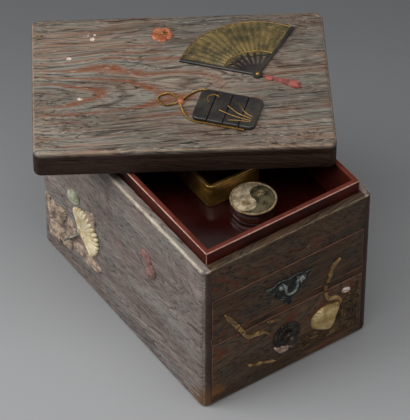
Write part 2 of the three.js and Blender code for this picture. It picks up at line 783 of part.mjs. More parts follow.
// The gourd's edge, from its tip round its two lobes, in shares of its height
const gourdEdge = [
  [-0.39, 0.42], [-0.11, 0.5], [0.14, 0.39], [0.18, 0.22], [0.08, 0.1], [0.25, 0.01],
  [0.38, -0.17], [0.25, -0.4], [0.04, -0.5], [-0.15, -0.38], [-0.17, -0.18], [-0.08, -0.03],
  [-0.24, 0.12], [-0.31, 0.25],
];

function flowerOutline() {
  const points = [];
  const count = flowerPetals * 6;
  const innerRadius = hubRadius + seatGap;
  const innerCount = 8;
  for (let i = 0; i <= count; i += 1) {
    const t = i / count;
    const angle = flowerStart + t * (flowerEnd - flowerStart);
    const reach = flowerShort + (flowerLong - flowerShort) * Math.sin(Math.PI * t ** flowerSkew);
    const radius = reach * (1 - petalNotch * Math.abs(Math.cos(Math.PI * flowerPetals * t)));
    points.push(new THREE.Vector2(radius * Math.cos(angle), radius * Math.sin(angle)));
  }
  for (let i = innerCount; i >= 0; i -= 1) {
    const angle = flowerStart + (i / innerCount) * (flowerEnd - flowerStart);
    points.push(new THREE.Vector2(innerRadius * Math.cos(angle), innerRadius * Math.sin(angle)));
  }
  return new THREE.Shape(points);
}

// The left side's face, with its origin at distance y and height z
function sideFace(y, z) {
  const origin = new THREE.Vector3(-caseWidth / 2, y, z);
  return faceGroup(caseGroup, origin, new THREE.Vector3(0, -1, 0), new THREE.Vector3(0, 0, 1));
}

function sideLeaf(a, b, length, width, turn) {
  const leaf = raised(leafOutline(length, width, leafLobes), inlayThickness);
  return turnedShape(leaf, a, b, degToRad(turn));
}

function sideStem(...route) {
  return raised(ribbonOutline(route, stemWidth, false, false, 8), inlayThickness);
}

function makeSideInlays() {
  const face = sideFace(backY, 0);
  addPiece(face, 'side_flower', raised(flowerOutline(), flowerThickness).translate(hubA, hubB, 0), ivory());
  const hub = raised(polarOutline(16, () => hubRadius), flowerThickness);
  addPiece(face, 'side_flower_hub', hub.translate(hubA, hubB, 0), paleGreen());
  const budEdge = (angle) => budRadius + budStretch * Math.cos(2 * angle);
  const bud = raised(polarOutline(22, budEdge), flowerThickness);
  addPiece(face, 'side_bud', turnedShape(bud, budA, budB, budTurn), paleGreen());
  const rearLeaf = sideLeaf(rearLeafA, rearLeafB, rearLeafLength, rearLeafWidth, 154);
  const lowLeaf = sideLeaf(lowLeafA, lowLeafB, lowLeafLength, lowLeafWidth, 190);
  const frontLeaf = sideLeaf(frontLeafA, frontLeafB, frontLeafLength, frontLeafWidth, -8);
  const stemEnd = [hubA - hubRadius * 1.2, hubB - hubRadius * 1.45];
  const stem = sideStem([lowLeafA, lowLeafB], [frontLeafA, frontLeafB], stemEnd);
  const stalkMiddle = [(rearLeafA + lowLeafA) / 2 - stemWidth, (rearLeafB + lowLeafB) / 2];
  const stalk = sideStem([rearLeafA, rearLeafB], stalkMiddle, [lowLeafA, lowLeafB]);
  addPiece(face, 'side_foliage', joined(stem, stalk, rearLeaf, lowLeaf, frontLeaf), leafTaupe());
  const smallLeaf = sideLeaf(smallLeafA, smallLeafB, smallLeafLength, smallLeafWidth, -38);
  addPiece(face, 'side_leaf_small', smallLeaf, leafTaupe());
  const gourd = raised(smoothOutline(scaled(gourdEdge, gourdHeight), 42), inlayThickness);
  const gourdFace = sideFace(frontY, caseHeight);
  addPiece(gourdFace, 'side_gourd', gourd.translate(gourdA, gourdB, 0), brickRed());
}

// Half of a disc that swells into the other half below and gives way to it above
function commaShape(radius) {
  const disc = rod(radius, boxInlayThickness, 48).rotateX(Math.PI / 2);
  const overRadius = radius + cutOverrun;
  const halfDisc = slab(-overRadius, -boxInlayGap, -radius, radius, -boxInlayThickness, boxInlayThickness);
  const swell = rod(radius / 2 - boxInlayGap, boxInlayThickness, 32).rotateX(Math.PI / 2);
  const notch = rod(radius / 2 + boxInlayGap, boxInlayThickness * 3, 32).rotateX(Math.PI / 2);
  const head = joined(common(disc, halfDisc), swell.translate(0, -radius / 2, 0));
  const comma = without(head, notch.translate(0, radius / 2, 0));
  return comma.translate(0, 0, boxInlayThickness / 2);
}

// Round incense box: a base with a collar, a lid that fits over it, and a two-part inlay
function makeIncenseBox() {
  const base = new THREE.Group();
  base.position.set(boxX, boxY, trayFloorZ + seatGap);
  casket.add(base);
  const inside = boxRadius - boxWall;
  const collarOuter = inside + boxWall * 0.45;
  const lidInside = collarOuter + seatGap;
  const baseProfile = [
    [0, 0],
    [boxRadius - boxFootRounding, 0],
    [boxRadius, boxFootRounding],
    [boxRadius, boxBaseHeight],
    [collarOuter, boxBaseHeight],
    [collarOuter, boxBaseHeight + boxCollar],
    [inside, boxBaseHeight + boxCollar],
    [inside, boxWall],
    [0, boxWall],
  ];
  addPiece(base, 'incense_box_base', turned(baseProfile), brownLacquer());

  const lid = new THREE.Group();
  lid.position.copy(base.position);
  lid.position.z += boxBaseHeight + seatGap;
  casket.add(lid);
  const rimInner = boxRadius - boxRimWidth;
  const plateTop = boxLidHeight - boxRimHeight;
  const lidProfile = [
    [0, plateTop - boxWall],
    [lidInside, plateTop - boxWall],
    [lidInside, 0],
    [boxRadius, 0],
    [boxRadius, plateTop],
    [0, plateTop],
  ];
  addPiece(lid, 'incense_box_lid', turned(lidProfile), brownLacquer());
  const rimProfile = [
    [rimInner, plateTop],
    [boxRadius, plateTop],
    [boxRadius, boxLidHeight - boxRimRounding],
    [boxRadius - boxRimRounding, boxLidHeight],
    [rimInner, boxLidHeight],
    [rimInner, plateTop],
  ];
  addPiece(lid, 'incense_box_rim', turned(rimProfile), silver());

  const inlayRadius = rimInner - boxInlayGap;
  const comma = commaShape(inlayRadius).translate(0, 0, plateTop);
  const lightGeometry = comma.clone().rotateZ(inlayTurn);
  const darkGeometry = comma.rotateZ(inlayTurn + Math.PI);
  addPiece(lid, 'incense_box_light_inlay', lightGeometry, silver());
  addPiece(lid, 'incense_box_dark_inlay', darkGeometry, olive());
}

function makeGoldBox() {
  const outer = raised(roundedRectangle(goldWidth / 2, goldDepth / 2, goldCorner), goldHeight, 5);
  const insideX = goldWidth / 2 - goldWall;
  const insideY = goldDepth / 2 - goldWall;
  const insideOutline = roundedRectangle(insideX, insideY, goldCorner - goldWall / 2);
  const inside = raised(insideOutline, goldHeight, 5).translate(0, 0, goldFloor);
  const box = without(outer, inside);
  box.translate(goldLeft + goldWidth / 2, goldFront + goldDepth / 2, trayFloorZ + seatGap);
  addPiece(casket, 'gold_box', box, goldLacquer());
}

makeCase();
makeSideInlays();
makeTray();
makeLid();
makeUpperDrawer();
makeLowerDrawer();
makeIncenseBox();
makeGoldBox();

export default casket;
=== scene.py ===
# %% [markdown]
# # A casket of weathered wood
# The solids come in as a fixed frame. This lesson dresses them: each board gets its grain,
# each inlay its carved relief, and the lacquer its gloss. Lengths in the lists are
# millimetres, because the inlays are only a few millimetres deep.

# %% Load the frame
import json
import random
from math import atan2, cos, degrees, exp, hypot, pi, radians, sin, sqrt

import bmesh
import bpy
from mathutils import Matrix, Quaternion, Vector

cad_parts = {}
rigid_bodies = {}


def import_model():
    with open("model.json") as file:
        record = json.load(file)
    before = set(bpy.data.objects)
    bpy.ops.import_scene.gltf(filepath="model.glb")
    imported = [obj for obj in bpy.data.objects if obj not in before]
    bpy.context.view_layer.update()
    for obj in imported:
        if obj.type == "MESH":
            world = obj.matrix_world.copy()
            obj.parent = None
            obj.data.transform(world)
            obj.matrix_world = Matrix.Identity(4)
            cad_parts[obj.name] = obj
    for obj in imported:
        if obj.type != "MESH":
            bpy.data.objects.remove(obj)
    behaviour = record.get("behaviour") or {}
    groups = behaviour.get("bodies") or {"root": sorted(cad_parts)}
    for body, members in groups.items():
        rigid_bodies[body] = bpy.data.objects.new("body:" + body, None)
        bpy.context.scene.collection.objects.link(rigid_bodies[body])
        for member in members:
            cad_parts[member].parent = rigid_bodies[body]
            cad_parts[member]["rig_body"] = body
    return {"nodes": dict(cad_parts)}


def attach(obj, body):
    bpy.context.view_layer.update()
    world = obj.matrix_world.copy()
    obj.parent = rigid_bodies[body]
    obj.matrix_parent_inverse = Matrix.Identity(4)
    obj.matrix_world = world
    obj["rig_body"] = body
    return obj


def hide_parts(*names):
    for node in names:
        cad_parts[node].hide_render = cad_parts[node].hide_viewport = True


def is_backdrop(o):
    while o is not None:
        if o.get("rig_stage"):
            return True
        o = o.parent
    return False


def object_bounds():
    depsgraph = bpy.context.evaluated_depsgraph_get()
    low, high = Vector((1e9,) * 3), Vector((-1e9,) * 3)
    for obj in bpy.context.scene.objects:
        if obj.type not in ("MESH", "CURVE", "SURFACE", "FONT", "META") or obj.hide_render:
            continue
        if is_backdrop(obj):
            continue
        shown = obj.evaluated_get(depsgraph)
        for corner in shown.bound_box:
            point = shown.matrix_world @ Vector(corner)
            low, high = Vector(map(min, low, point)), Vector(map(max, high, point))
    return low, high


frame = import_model()
nodes = frame["nodes"]
cad_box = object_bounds()
MM = 0.001

# %% [markdown]
# The camera looks down on the front corner through a long lens, from more than three metres
# away, so that the upright edges stay almost parallel.


# %% Camera
def new_object(name, data):
    made = bpy.data.objects.new(name, data)
    bpy.context.scene.collection.objects.link(made)
    return made


camera_data = bpy.data.cameras.new("camera")
camera_data.sensor_width = 36.0
camera_data.lens = 263.93
camera_data.clip_end = 30.0
camera = new_object("camera", camera_data)
camera.location = (-1.25865, -1.84143, 2.24463)
azimuth, elevation, roll = [radians(a) for a in (-34.401, 43.848, -0.063)]
level = cos(elevation)
aim = Vector((-sin(azimuth) * level, cos(azimuth) * level, -sin(elevation)))
camera.rotation_euler = (aim.to_track_quat("-Z", "Y") @ Quaternion((0, 0, 1), -roll)).to_euler()
bpy.context.scene.camera = camera
bpy.context.scene.view_settings.view_transform = "Standard"
print("camera at", tuple(round(c, 2) for c in camera.location))

# %% [markdown]
# One large soft light stands to the left and a little behind, and a larger one hangs above.
# They light the left side and the lid. The front gets little of either, so with only a weak
# fill it goes deep brown. Wide lights keep the shadows' edges soft.

# %% Lights
for name, place, target, width, watts, tint in (
    ("key", (-1.45, 0.62, 1.35), (-0.05, -0.05, 0.1), 1.25, 26.0, (1.0, 0.985, 0.965)),
    ("top", (-0.3, -0.35, 2.1), (0.0, 0.0, 0.1), 1.7, 22.0, (1.0, 0.985, 0.96)),
    ("fill", (0.9, -1.7, 0.9), (0.0, -0.1, 0.1), 1.4, 3.6, (1.0, 0.97, 0.93)),
):
    lamp = bpy.data.lights.new(name, "AREA")
    lamp.size, lamp.energy, lamp.color = width, watts, tint
    light = new_object(name, lamp)
    light.location = place
    light.rotation_euler = (Vector(target) - Vector(place)).to_track_quat("-Z", "Y").to_euler()
    print(name, watts, "W")

world = bpy.data.worlds.new("studio")
world.use_nodes = True
sky = world.node_tree.nodes["Background"].inputs
sky["Color"].default_value = (0.85, 0.84, 0.84, 1.0)
sky["Strength"].default_value = 0.21
bpy.context.scene.world = world

# %% [markdown]
# Shaders and geometry trees are built from the same few calls. `put` adds a node and fills
# its sockets with numbers or with links. A socket knows its own tree, so the other calls
# need only the sockets they work on, and each recipe below reads as a list.


# %% Node helpers
def colour(code):
    parts = [int(code[i : i + 2], 16) / 255 for i in (0, 2, 4)]
    return tuple(c / 12.92 if c < 0.04045 else ((c + 0.055) / 1.055) ** 2.4 for c in parts) + (1.0,)


def is_socket(value):
    return isinstance(value, bpy.types.NodeSocket)


def fill(node, values):
    for key, value in values.items():
        if is_socket(value):
            node.id_data.links.new(value, node.inputs[key])
        else:
            node.inputs[key].default_value = value
    return node


def put(tree, kind, values=None, **settings):
    made = tree.nodes.new(kind)
    for name, value in settings.items():
        setattr(made, name, value)
    return fill(made, values or {})


def fed(kind, *values, **settings):
    """A node in the tree of the sockets that feed it."""
    tree = next(value.id_data for value in values if is_socket(value))
    return put(tree, kind, dict(enumerate(values)), **settings).outputs


def calc(operation, first, second=0.0, third=0.0):
    return fed("ShaderNodeMath", first, second, third, operation=operation)[0]


def times(first, *others):
    for other in others:
        first = calc("MULTIPLY", first, other)
    return first


def vector(operation, first, second=(0, 0, 0)):
    return fed("ShaderNodeVectorMath", first, second, operation=operation)[0]


def distance(first, second=(0, 0, 0)):
    return fed("ShaderNodeVectorMath", first, second, operation="DISTANCE")["Value"]


def joined(x=0.0, y=0.0, z=0.0):
    return fed("ShaderNodeCombineXYZ", x, y, z)[0]


def split(place):
    return fed("ShaderNodeSeparateXYZ", place)


def mapped(value, low, high, new_low=0.0, new_high=1.0):
    values = (value, low, high, new_low, new_high)
    return fed("ShaderNodeMapRange", *values, interpolation_type="SMOOTHSTEP")[0]


def mixed(share, first, second):
    values = {0: share, 6: first, 7: second}
    return put(share.id_data, "ShaderNodeMix", values, data_type="RGBA").outputs[2]


def noise(place, along, across, detail=2.0, roughness=0.5):
    """Noise with so many waves to the metre along X and across it."""
    stretch = (along, across, across)
    stretch = joined(*stretch) if is_socket(along) else stretch
    values = {"Vector": vector("MULTIPLY", place, stretch), "Scale": 1.0, "Detail": detail}
    return put(place.id_data, "ShaderNodeTexNoise", {**values, "Roughness": roughness}).outputs[0]


def new_tree(family, name, inputs, outputs):
    """A node group. An input is named with its default, or with its kind if it has none."""
    tree = bpy.data.node_groups.new(name, family + "NodeTree")
    kinds = {float: "Float", int: "Int", tuple: "Vector"}
    for label, value in inputs.items():
        kind = kinds.get(type(value), value)
        socket = tree.interface.new_socket(label, in_out="INPUT", socket_type=f"NodeSocket{kind}")
        if kind != value:
            socket.default_value = value
    kind = "Geometry" if family == "Geometry" else "Float"
    for label in outputs:
        tree.interface.new_socket(label, in_out="OUTPUT", socket_type=f"NodeSocket{kind}")
    return tree, put(tree, "NodeGroupInput").outputs


print("helpers ready")

# %% [markdown]
# Old wood shows three things at once: the rings of the tree, cut along their length into
# flames and loops, a fine fibre that a wire brush has laid bare, and pale dust in the pores.
# The rings are circles round a log's axis that lies a little below the board and tilts
# against it. A board on Object coordinates cuts through them as a saw would, and slow noise
# makes the rings sway. An image of wood would be easier, but it would repeat.


# %% Wood figure
def there_and_back(value):
    return times(calc("PINGPONG", value, 0.5), 2.0)


RIPPLE = 0.0022
FIBRE_LENGTH = 0.018
defaults = {"Vector": "Vector", "Ring Width": 0.005, "Log Depth": 0.05, "Log Offset": 0.0}
defaults.update({"Tilt": 0.05, "Wobble": 0.01, "Fibre": 720.0, "Seed": 0.0})
labels = ("Ring", "Patch", "Fibre", "Dust", "Drift", "Line", "Stain")
figure, given = new_tree("Shader", "wood figure", defaults, labels)
seed = joined(given["Seed"])
seeded = vector("ADD", given["Vector"], seed)
wave = calc("SUBTRACT", noise(seeded, 5.0, 13.0), 0.5)
ripple = calc("SUBTRACT", noise(seeded, 38.0, 90.0, 1.0), 0.5)
sway = calc("MULTIPLY_ADD", ripple, RIPPLE, times(wave, given["Wobble"]))
along, across, out = split(given["Vector"])
across = calc("ADD", calc("ADD", across, given["Log Offset"]), sway)
depth = calc("MULTIPLY_ADD", along, given["Tilt"], calc("ADD", out, given["Log Depth"]))
depth = calc("ADD", depth, sway)
radius = calc("SQRT", calc("ADD", calc("POWER", across, 2.0), calc("POWER", depth, 2.0)))
bent = vector("ADD", joined(along, across, depth), seed)
masks = {
    "Ring": there_and_back(calc("DIVIDE", radius, given["Ring Width"])),
    "Line": there_and_back(times(noise(bent, 1.5, 40.0, 1.0), 24.0)),
    "Patch": noise(seeded, 7.0, 20.0),
    "Stain": noise(seeded, 16.0, 34.0, 3.0, 0.65),
    "Fibre": noise(bent, times(given["Fibre"], FIBRE_LENGTH), given["Fibre"], 3.0, 0.62),
    "Dust": noise(bent, 90.0, 560.0, 2.0, 0.65),
    "Drift": noise(bent, 9.0, 120.0, 3.0, 0.6),
}
put(figure, "NodeGroupOutput", masks)
print("wood figure:", len(figure.nodes), "nodes")

# %% [markdown]
# A box that is handled wears along its edges first. The distance to the nearest edge of a block is the
# smallest of three numbers, each the larger distance to two of its faces. The board's own half size is enough
# for that, so no bevel or baked mask is needed. The same mask also lays the painted highlight along the
# tray's rim.

# %% Edge wear
defaults = {"Vector": "Vector", "Half Size": (0.1, 0.1, 0.1), "Reach": 0.006, "Roughness": 0.6}
wear, given = new_tree("Shader", "edge wear", defaults, ["Mask"])
face = split(vector("SUBTRACT", given["Half Size"], vector("ABSOLUTE", given["Vector"])))
pairs = [calc("MAXIMUM", face[a], face[b]) for a, b in ((0, 1), (1, 2), (0, 2))]
edge = calc("MINIMUM", calc("MINIMUM", pairs[0], pairs[1]), pairs[2])
patchy = calc("SUBTRACT", noise(given["Vector"], 95.0, 95.0, 3.0, 0.65), 0.5)
edge = calc("MULTIPLY_ADD", times(patchy, given["Roughness"]), given["Reach"], edge)
share = calc("DIVIDE", edge, given["Reach"])
put(wear, "NodeGroupOutput", {"Mask": mapped(share, 0.15, 0.85, 1.0, 0.0)})
print("edge wear:", len(wear.nodes), "nodes")

# %% [markdown]
# Every material starts from its shader and from Object coordinates, which stay with a part
# when it moves. The materials are kept in a table of their own, because the frame's plain
# materials use some of the same names.


# %% Materials
paints = {}


def start(name):
    """A new material: its shader and its Object coordinates."""
    paints[name] = material = bpy.data.materials.new(name)
    material.use_nodes = True
    place = put(material.node_tree, "ShaderNodeTexCoord").outputs["Object"]
    return material.node_tree.nodes["Principled BSDF"], place


def in_metres(lengths):
    return [length * MM for length in lengths]


def bump(height, depth, strength=1.0):
    values = {"Height": height, "Distance": depth * MM, "Strength": strength}
    return put(height.id_data, "ShaderNodeBump", values).outputs[0]


def grouped(group, values):
    return put(values["Vector"].id_data, "ShaderNodeGroup", values, node_tree=group).outputs


def edge_wear_and_highlight(place, half, reach):
    return grouped(wear, {"Vector": place, "Half Size": in_metres(half), "Reach": reach * MM})["Mask"]


def grain_of(place, log, fibre):
    width, deep, offset, tilt, wobble, seed = log
    values = {"Vector": place, "Ring Width": width * MM, "Log Depth": deep * MM, "Seed": seed}
    values.update({"Log Offset": offset * MM, "Tilt": tilt, "Wobble": wobble * MM, "Fibre": fibre})
    return grouped(figure, values)


print("materials start from Object coordinates")

# %% [markdown]
# Every board's finish is laid on in thin coats, as a restorer would retouch it: silvered and faded wood, dark
# patches, pores and veins, the red late wood of the rings, the dark gaps between them, dust and flecks, a
# darker end or a scuff where a board has one, and at last the bare worn edges. The darker ends are painted
# shade on the sides' front ends, partly the wood's own darker stain and partly painted shade on the lid's
# edge, and a plain darkening towards the bottom of the lower drawer. A Mapping node turns the pattern, so
# that X runs along the grain, Y across it and Z out of the board.


# %% Wood coats
def shaded_end(place, axis, low, high, share):
    """A dark that fades out between two places along an axis."""
    return mapped(split(place)[axis], low * MM, high * MM, share, 0.0)


def scuffed(place, grain, spot, radius):
    """A ragged round mark."""
    ragged = calc("SUBTRACT", grain["Dust"], 0.5)
    off = calc("MULTIPLY_ADD", ragged, 1.6 * radius * MM, distance(place, in_metres(spot)))
    return mapped(off, 0.35 * radius * MM, radius * MM, 0.85, 0.0)


def late_wood(grain, place, red, flame):
    """The red bands of the rings. red is how much of the board has them and how broad they are."""
    much, broad = red
    late = times(
        mapped(grain["Ring"], 0.62 - 0.2 * broad, 1.0),
        mapped(grain["Patch"], 0.64 - 0.3 * much, 0.76 - 0.3 * much),
        mapped(grain["Fibre"], 0.3, 0.58, 0.15, 0.95),
    )
    if flame:
        away = vector("SUBTRACT", place, in_metres(flame[:2]) + [0.0])
        away = distance(vector("DIVIDE", away, in_metres(flame[2:]) + [1.0]))
        late = times(late, mapped(away, 0.6, 1.15, 1.0, 0.35))
    return late


def wood(
    name, block, log, tones,
    reach=3.0, red=(0.4, 0.6), dust=0.6, relief=0.8, fibre=720.0, flame=None, shade=None, scuff=None,
):
    """One board's finish. block is the centre, turn and half size of the block it is part of."""
    shader, plain = start(name)
    centre, turn, half = block
    laid = {"Vector": plain, "Location": in_metres(centre), "Rotation": [radians(a) for a in turn]}
    place = put(plain.id_data, "ShaderNodeMapping", laid, vector_type="TEXTURE").outputs[0]
    grain = grain_of(place, log, fibre)
    ring, patch, fine, drift, line, powder = [
        grain[label] for label in ("Ring", "Patch", "Fibre", "Drift", "Line", "Dust")
    ]
    dark, body, cool, warm, pale, worn = [colour(c) for c in tones]
    pores = times(mapped(drift, 0.3, 0.6, 1.0, 0.5), mapped(fine, 0.35, 0.52, 0.95, 0.0))
    veins = times(mapped(line, 0.02, 0.24, 0.9, 0.0), mapped(powder, 0.32, 0.6, 0.95, 0.35))
    gaps = times(mapped(ring, 0.0, 0.24, 0.15 + 0.5 * red[0], 0.0), mapped(patch, 0.35, 0.6, 0.3, 1.0))
    flecks = mapped(noise(place, 70.0, 130.0, 1.0), 0.79, 0.81, 0.0, 0.75)
    coats = [
        (mapped(grain["Stain"], 0.36, 0.64), cool),
        (mapped(drift, 0.35, 0.65, 0.0, 0.35), pale),
        (mapped(patch, 0.42, 0.6, 0.3, 0.0), dark),
        (pores, dark),
        (veins, dark),
        (late_wood(grain, place, red, flame), warm),
        (gaps, dark),
        (mapped(powder, 0.70 - 0.16 * dust, 0.88 - 0.16 * dust, 0.0, 0.6), pale),
        (flecks, worn),
    ]
    if shade:
        coats.append((shaded_end(plain, *shade[:-1]), colour(shade[-1])))
    if scuff:
        coats.append((scuffed(plain, grain, *scuff[:-1]), colour(scuff[-1])))
    coats.append((times(edge_wear_and_highlight(place, half, reach), mapped(fine, 0.3, 0.6, 0.5, 1.0)), worn))
    for mask, tone in coats:
        body = mixed(mask, body, tone)
    swell = calc("MULTIPLY_ADD", drift, 0.8, calc("MULTIPLY_ADD", ring, 0.35, fine))
    swell = calc("MULTIPLY_ADD", mapped(line, 0.0, 0.4), 0.22, swell)
    rough = mapped(fine, 0.2, 0.8, 0.85, 0.55)
    looks = {"Base Color": body, "Roughness": rough, "Normal": bump(swell, relief)}
    fill(shader, {**looks, "Specular IOR Level": 0.22})
    print(name, len(plain.id_data.nodes), "nodes")


# %% [markdown]
# Each board is cut from its own log: ring width, depth and offset of the log's axis, its tilt, the sway of
# the rings and a seed. The tones are a sun-bleached grey for the sides, a brown for the front, warmer on the
# lower drawer, and one more set each for the lid, the rail and the raw wood of the drawer boxes. The front's
# brown is painted darker than the sides' grey: painted shade, because the front faces away from the lights.

# %% Boards' finishes
LID_TURN = -31.65
LEFT, RIGHT = [((0, 0, 94), (90, 0, turn), (147, 94, 100)) for turn in (-90, 90)]
FRONTAL, REAR = [((0, 0, 94), (90, 0, turn), (100, 94, 147)) for turn in (0, 180)]
LID_BLOCK = (9, 52, 217.3), (0, 0, LID_TURN), (147, 100, 15.5)
RAIL_BLOCK = (0, -135, 88.7), (90, 0, 0), (91, 4.25, 12)
UPPER_BLOCK = (0, -141.4, 119), (90, 0, 0), (90.3, 25.9, 6)
LOWER_BLOCK = (0, -141.4, 48), (90, 0, 0), (90.3, 35.9, 6)
INSIDE_BLOCK = (0, 0, 60), (90, 0, 0), (400, 400, 400)
# Tones: pores, body, cooler body, late wood, dust and worn arris
weathered = ("362b28", "94827d", "8a8582", "7a5443", "b3aca2", "d2c7b2")
# The shaded and warmer sets are painted shade: the same wood painted darker than the sides', as the front
# faces away from the lights
shaded = ("170e0a", "594133", "4d443a", "6a3320", "7d6144", "a08561")
sill_tones, band_tones, upper_tones = [shaded[:5] + (worn,) for worn in ("a4713a", "9c8f74", "8e6450")]
warmer = ("170e0a", "654b3b", "584e43", "6a3320", "7d6144", "8e6450")
lid_tones = ("1b120d", "836d5e", "807d75", "7e4220", "aca497", "ab937c")
rail_tones = ("1a0f0a", "523525", "4d3d2e", "6e3824", "7a654c", "96694e")
raw_tones = ("5a4632", "84694a", "8d7150", "7c5a3c", "8f7c60", "9a8262")
# The sides' shade darkens their front ends: painted shade, like the front's
wood(
    "wood_left", LEFT, (4.5, 60, -40, 0.16, 26, 1.3), weathered, 4.2, (0.2, 0.3), 0.8, 1.1,
    shade=(1, -147.0, -142.0, 0.85, "3b2419"), scuff=((-95, -147, 8), 26, "7c5a3a"),
)
# Painted shade on this side's front end too
wood(
    "wood_right", RIGHT, (4.5, 55, 30, -0.12, 22, 7.1), weathered, 3.2, (0.3, 0.4),
    shade=(1, -147.0, -141.0, 0.9, "331c13"),
)
wood("wood_back", REAR, (5, 40, 10, 0.1, 18, 3.7), weathered, 3.2, (0.35, 0.4))
wood("wood_sill", FRONTAL, (6, 34, 10, 0.1, 20, 1.9), sill_tones, 5.0)
wood("wood_band", FRONTAL, (6, 30, -60, 0.2, 30, 5.2), band_tones, 2.6, (0.35, 0.6), 0.6, 0.7)
wood("wood_inner", FRONTAL, (5, 50, 20, 0.05, 12, 9.4), shaded, 3.0, (0.2, 0.3), 0.2)
wood("wood_rail", RAIL_BLOCK, (3, 20, 0, 0.05, 10, 4.4), rail_tones, 0.9, (0.6, 0.6), 0.3)
# The lid's shade darkens its edge below the top: partly its own darker stain, partly painted shade
wood(
    "wood_lid", LID_BLOCK, (10, 16, 16, 0.11, 46, 2.6), lid_tones, 3.2, (0.8, 0.7), 0.9, 1.2, 560.0,
    flame=(-62, -8, 96, 62), shade=(2, 226.0, 231.6, 0.93, "281208"),
)
wood("wood_upper_drawer", UPPER_BLOCK, (6, 24, 14, 0.15, 26, 6.3), upper_tones, 1.3, (0.35, 0.6), 0.6, 0.7)
# The lower drawer's shade makes it darker towards its bottom edge
wood(
    "wood_lower_drawer", LOWER_BLOCK, (7, 28, -20, 0.2, 30, 8.8), warmer, 1.3, relief=0.7,
    shade=(2, 12.0, 20.0, 0.5, "4a2a1a"), scuff=((-86, -147, 13), 17, "85592f"),
)
wood("wood_drawer_box", INSIDE_BLOCK, (6, 60, 0, 0.05, 12, 2.2), raw_tones, 3.0, (0.2, 0.3), 0.1)

# %% [markdown]
# Lacquer, ivory, horn and metal are smooth, so they need less: two tones that drift into
# each other, a roughness that smudges, and a shallow unevenness that breaks the highlight.
# Gold powder and patina add fine specks. One table holds them all, so that they can be
# weighed against each other.


# %% Smooth finishes
def finish(name, dark, light, rough, metal, coat, waves, depth, speck=None):
    """One row of the table below. A speck has a colour, waves to the metre and a threshold."""
    shader, place = start(name)
    drift = noise(place, waves, waves, 3.0, 0.6)
    tone = mixed(mapped(drift, 0.35, 0.65), colour(dark), colour(light))
    if speck:
        code, fine, least = speck
        tone = mixed(mapped(noise(place, fine, fine, 2.0, 0.6), least, least + 0.07), tone, colour(code))
    smudge = mapped(noise(place, 23.0, 23.0), 0.3, 0.7, rough * 0.75, rough * 1.3)
    fill(shader, {"Base Color": tone, "Roughness": smudge, "Normal": bump(drift, depth, 0.6)})
    fill(shader, {"Metallic": metal, "Coat Weight": coat, "Coat Roughness": 0.08})


# Name, dark and light tone, roughness, metal, coat, waves to the metre, depth in millimetres
for row in (
    ("tray_lacquer", "260806", "3a100c", 0.24, 0, 0.35, 9, 0.2),
    ("tray_rim_lacquer", "2c0c07", "45160e", 0.44, 0, 0.05, 14, 0.2),
    ("incense_box_lacquer", "33140e", "50261c", 0.25, 0, 0.6, 30, 0.1),
    ("black_lacquer", "1d1b1c", "38342f", 0.28, 0, 0.5, 40, 0.2, ("8a6a35", 900, 0.66)),
    ("gold_lacquer", "7a5c28", "b38d4a", 0.3, 0.7, 0.2, 50, 0.2, ("5c4723", 700, 0.64)),
    # gold_box_side is gold painted darker: painted shade on the gold box's sides, also used for the dark
    # spiral on the incense box's light half
    ("gold_box_side", "5a3f18", "956f32", 0.38, 0.45, 0.2, 40, 0.3),
    ("pale_gold", "664b2b", "b08f5c", 0.5, 0.2, 0, 90, 0.4),
    ("shell_gold", "ab8b50", "e2cb97", 0.42, 0.15, 0, 60, 0.2),
    ("silver_lacquer", "8d7a60", "ddccae", 0.38, 0.3, 0, 120, 0.5, ("7d6a4c", 500, 0.62)),
    ("olive_lacquer", "3f392c", "71684f", 0.34, 0.3, 0, 130, 0.4, ("82764f", 500, 0.62)),
    ("pale_rim", "927a58", "cdb58a", 0.32, 0.45, 0, 160, 0.2),
    ("dark_iron", "16110f", "40372f", 0.38, 0.35, 0, 120, 0.4),
    ("patinated_iron", "141514", "33362f", 0.45, 0.4, 0, 150, 0.4, ("566156", 330, 0.6)),
    ("stem_grey", "77736a", "b3aea3", 0.5, 0, 0.05, 110, 0.3),
    ("iron_edge", "2b2d2a", "76807b", 0.4, 0.4, 0, 150, 0.2),
    ("worn_iron", "5a6361", "a0a8a5", 0.42, 0.35, 0, 260, 0.2),
    ("ivory", "cdb98c", "efe3c4", 0.4, 0, 0.2, 130, 0.2),
    ("pale_green", "7e8166", "d6d5bd", 0.45, 0, 0.1, 60, 0.2),
    ("leaf_taupe", "7b6a5b", "c2ac97", 0.5, 0, 0.05, 150, 0.6),
    ("brick_red", "68463f", "94706a", 0.6, 0, 0.05, 150, 0.5),
    ("silk_red", "6a2f28", "a2554a", 0.55, 0, 0.05, 150, 0.4),
    ("coral", "94492e", "bd7551", 0.42, 0, 0.15, 130, 0.3, ("7c3a26", 420, 0.66)),
    ("fan_leaf", "4a432c", "7d6b40", 0.45, 0.2, 0.1, 60, 0.3, ("a8905a", 620, 0.62)),
    ("pearl", "9a7867", "d8bca8", 0.4, 0, 0.2, 160, 0.2),
    ("white_shell", "c9a898", "f2e4da", 0.35, 0, 0.3, 180, 0.1),
    ("carved_weed", "38230f", "7d643e", 0.55, 0.05, 0, 70, 0.4),
):
    finish(*row)
print(len(paints), "finishes")

# %% [markdown]
# Three finishes need a second layer. The tray's rim gets painted light: its flat top is painted lighter where
# the light falls on it, broken by noise, and a pale painted highlight runs along its arris. Two of the shells
# have dark grooves between their ribs. All are laid over the colour that the table gave.


# %% Painted light on the rim, and ribbed shells
def opened(name):
    """A finished material's shader, its Object coordinates and its colour so far."""
    tree = paints[name].node_tree
    shader = tree.nodes["Principled BSDF"]
    place = put(tree, "ShaderNodeTexCoord").outputs["Object"]
    return shader, place, shader.inputs["Base Color"].links[0].from_socket


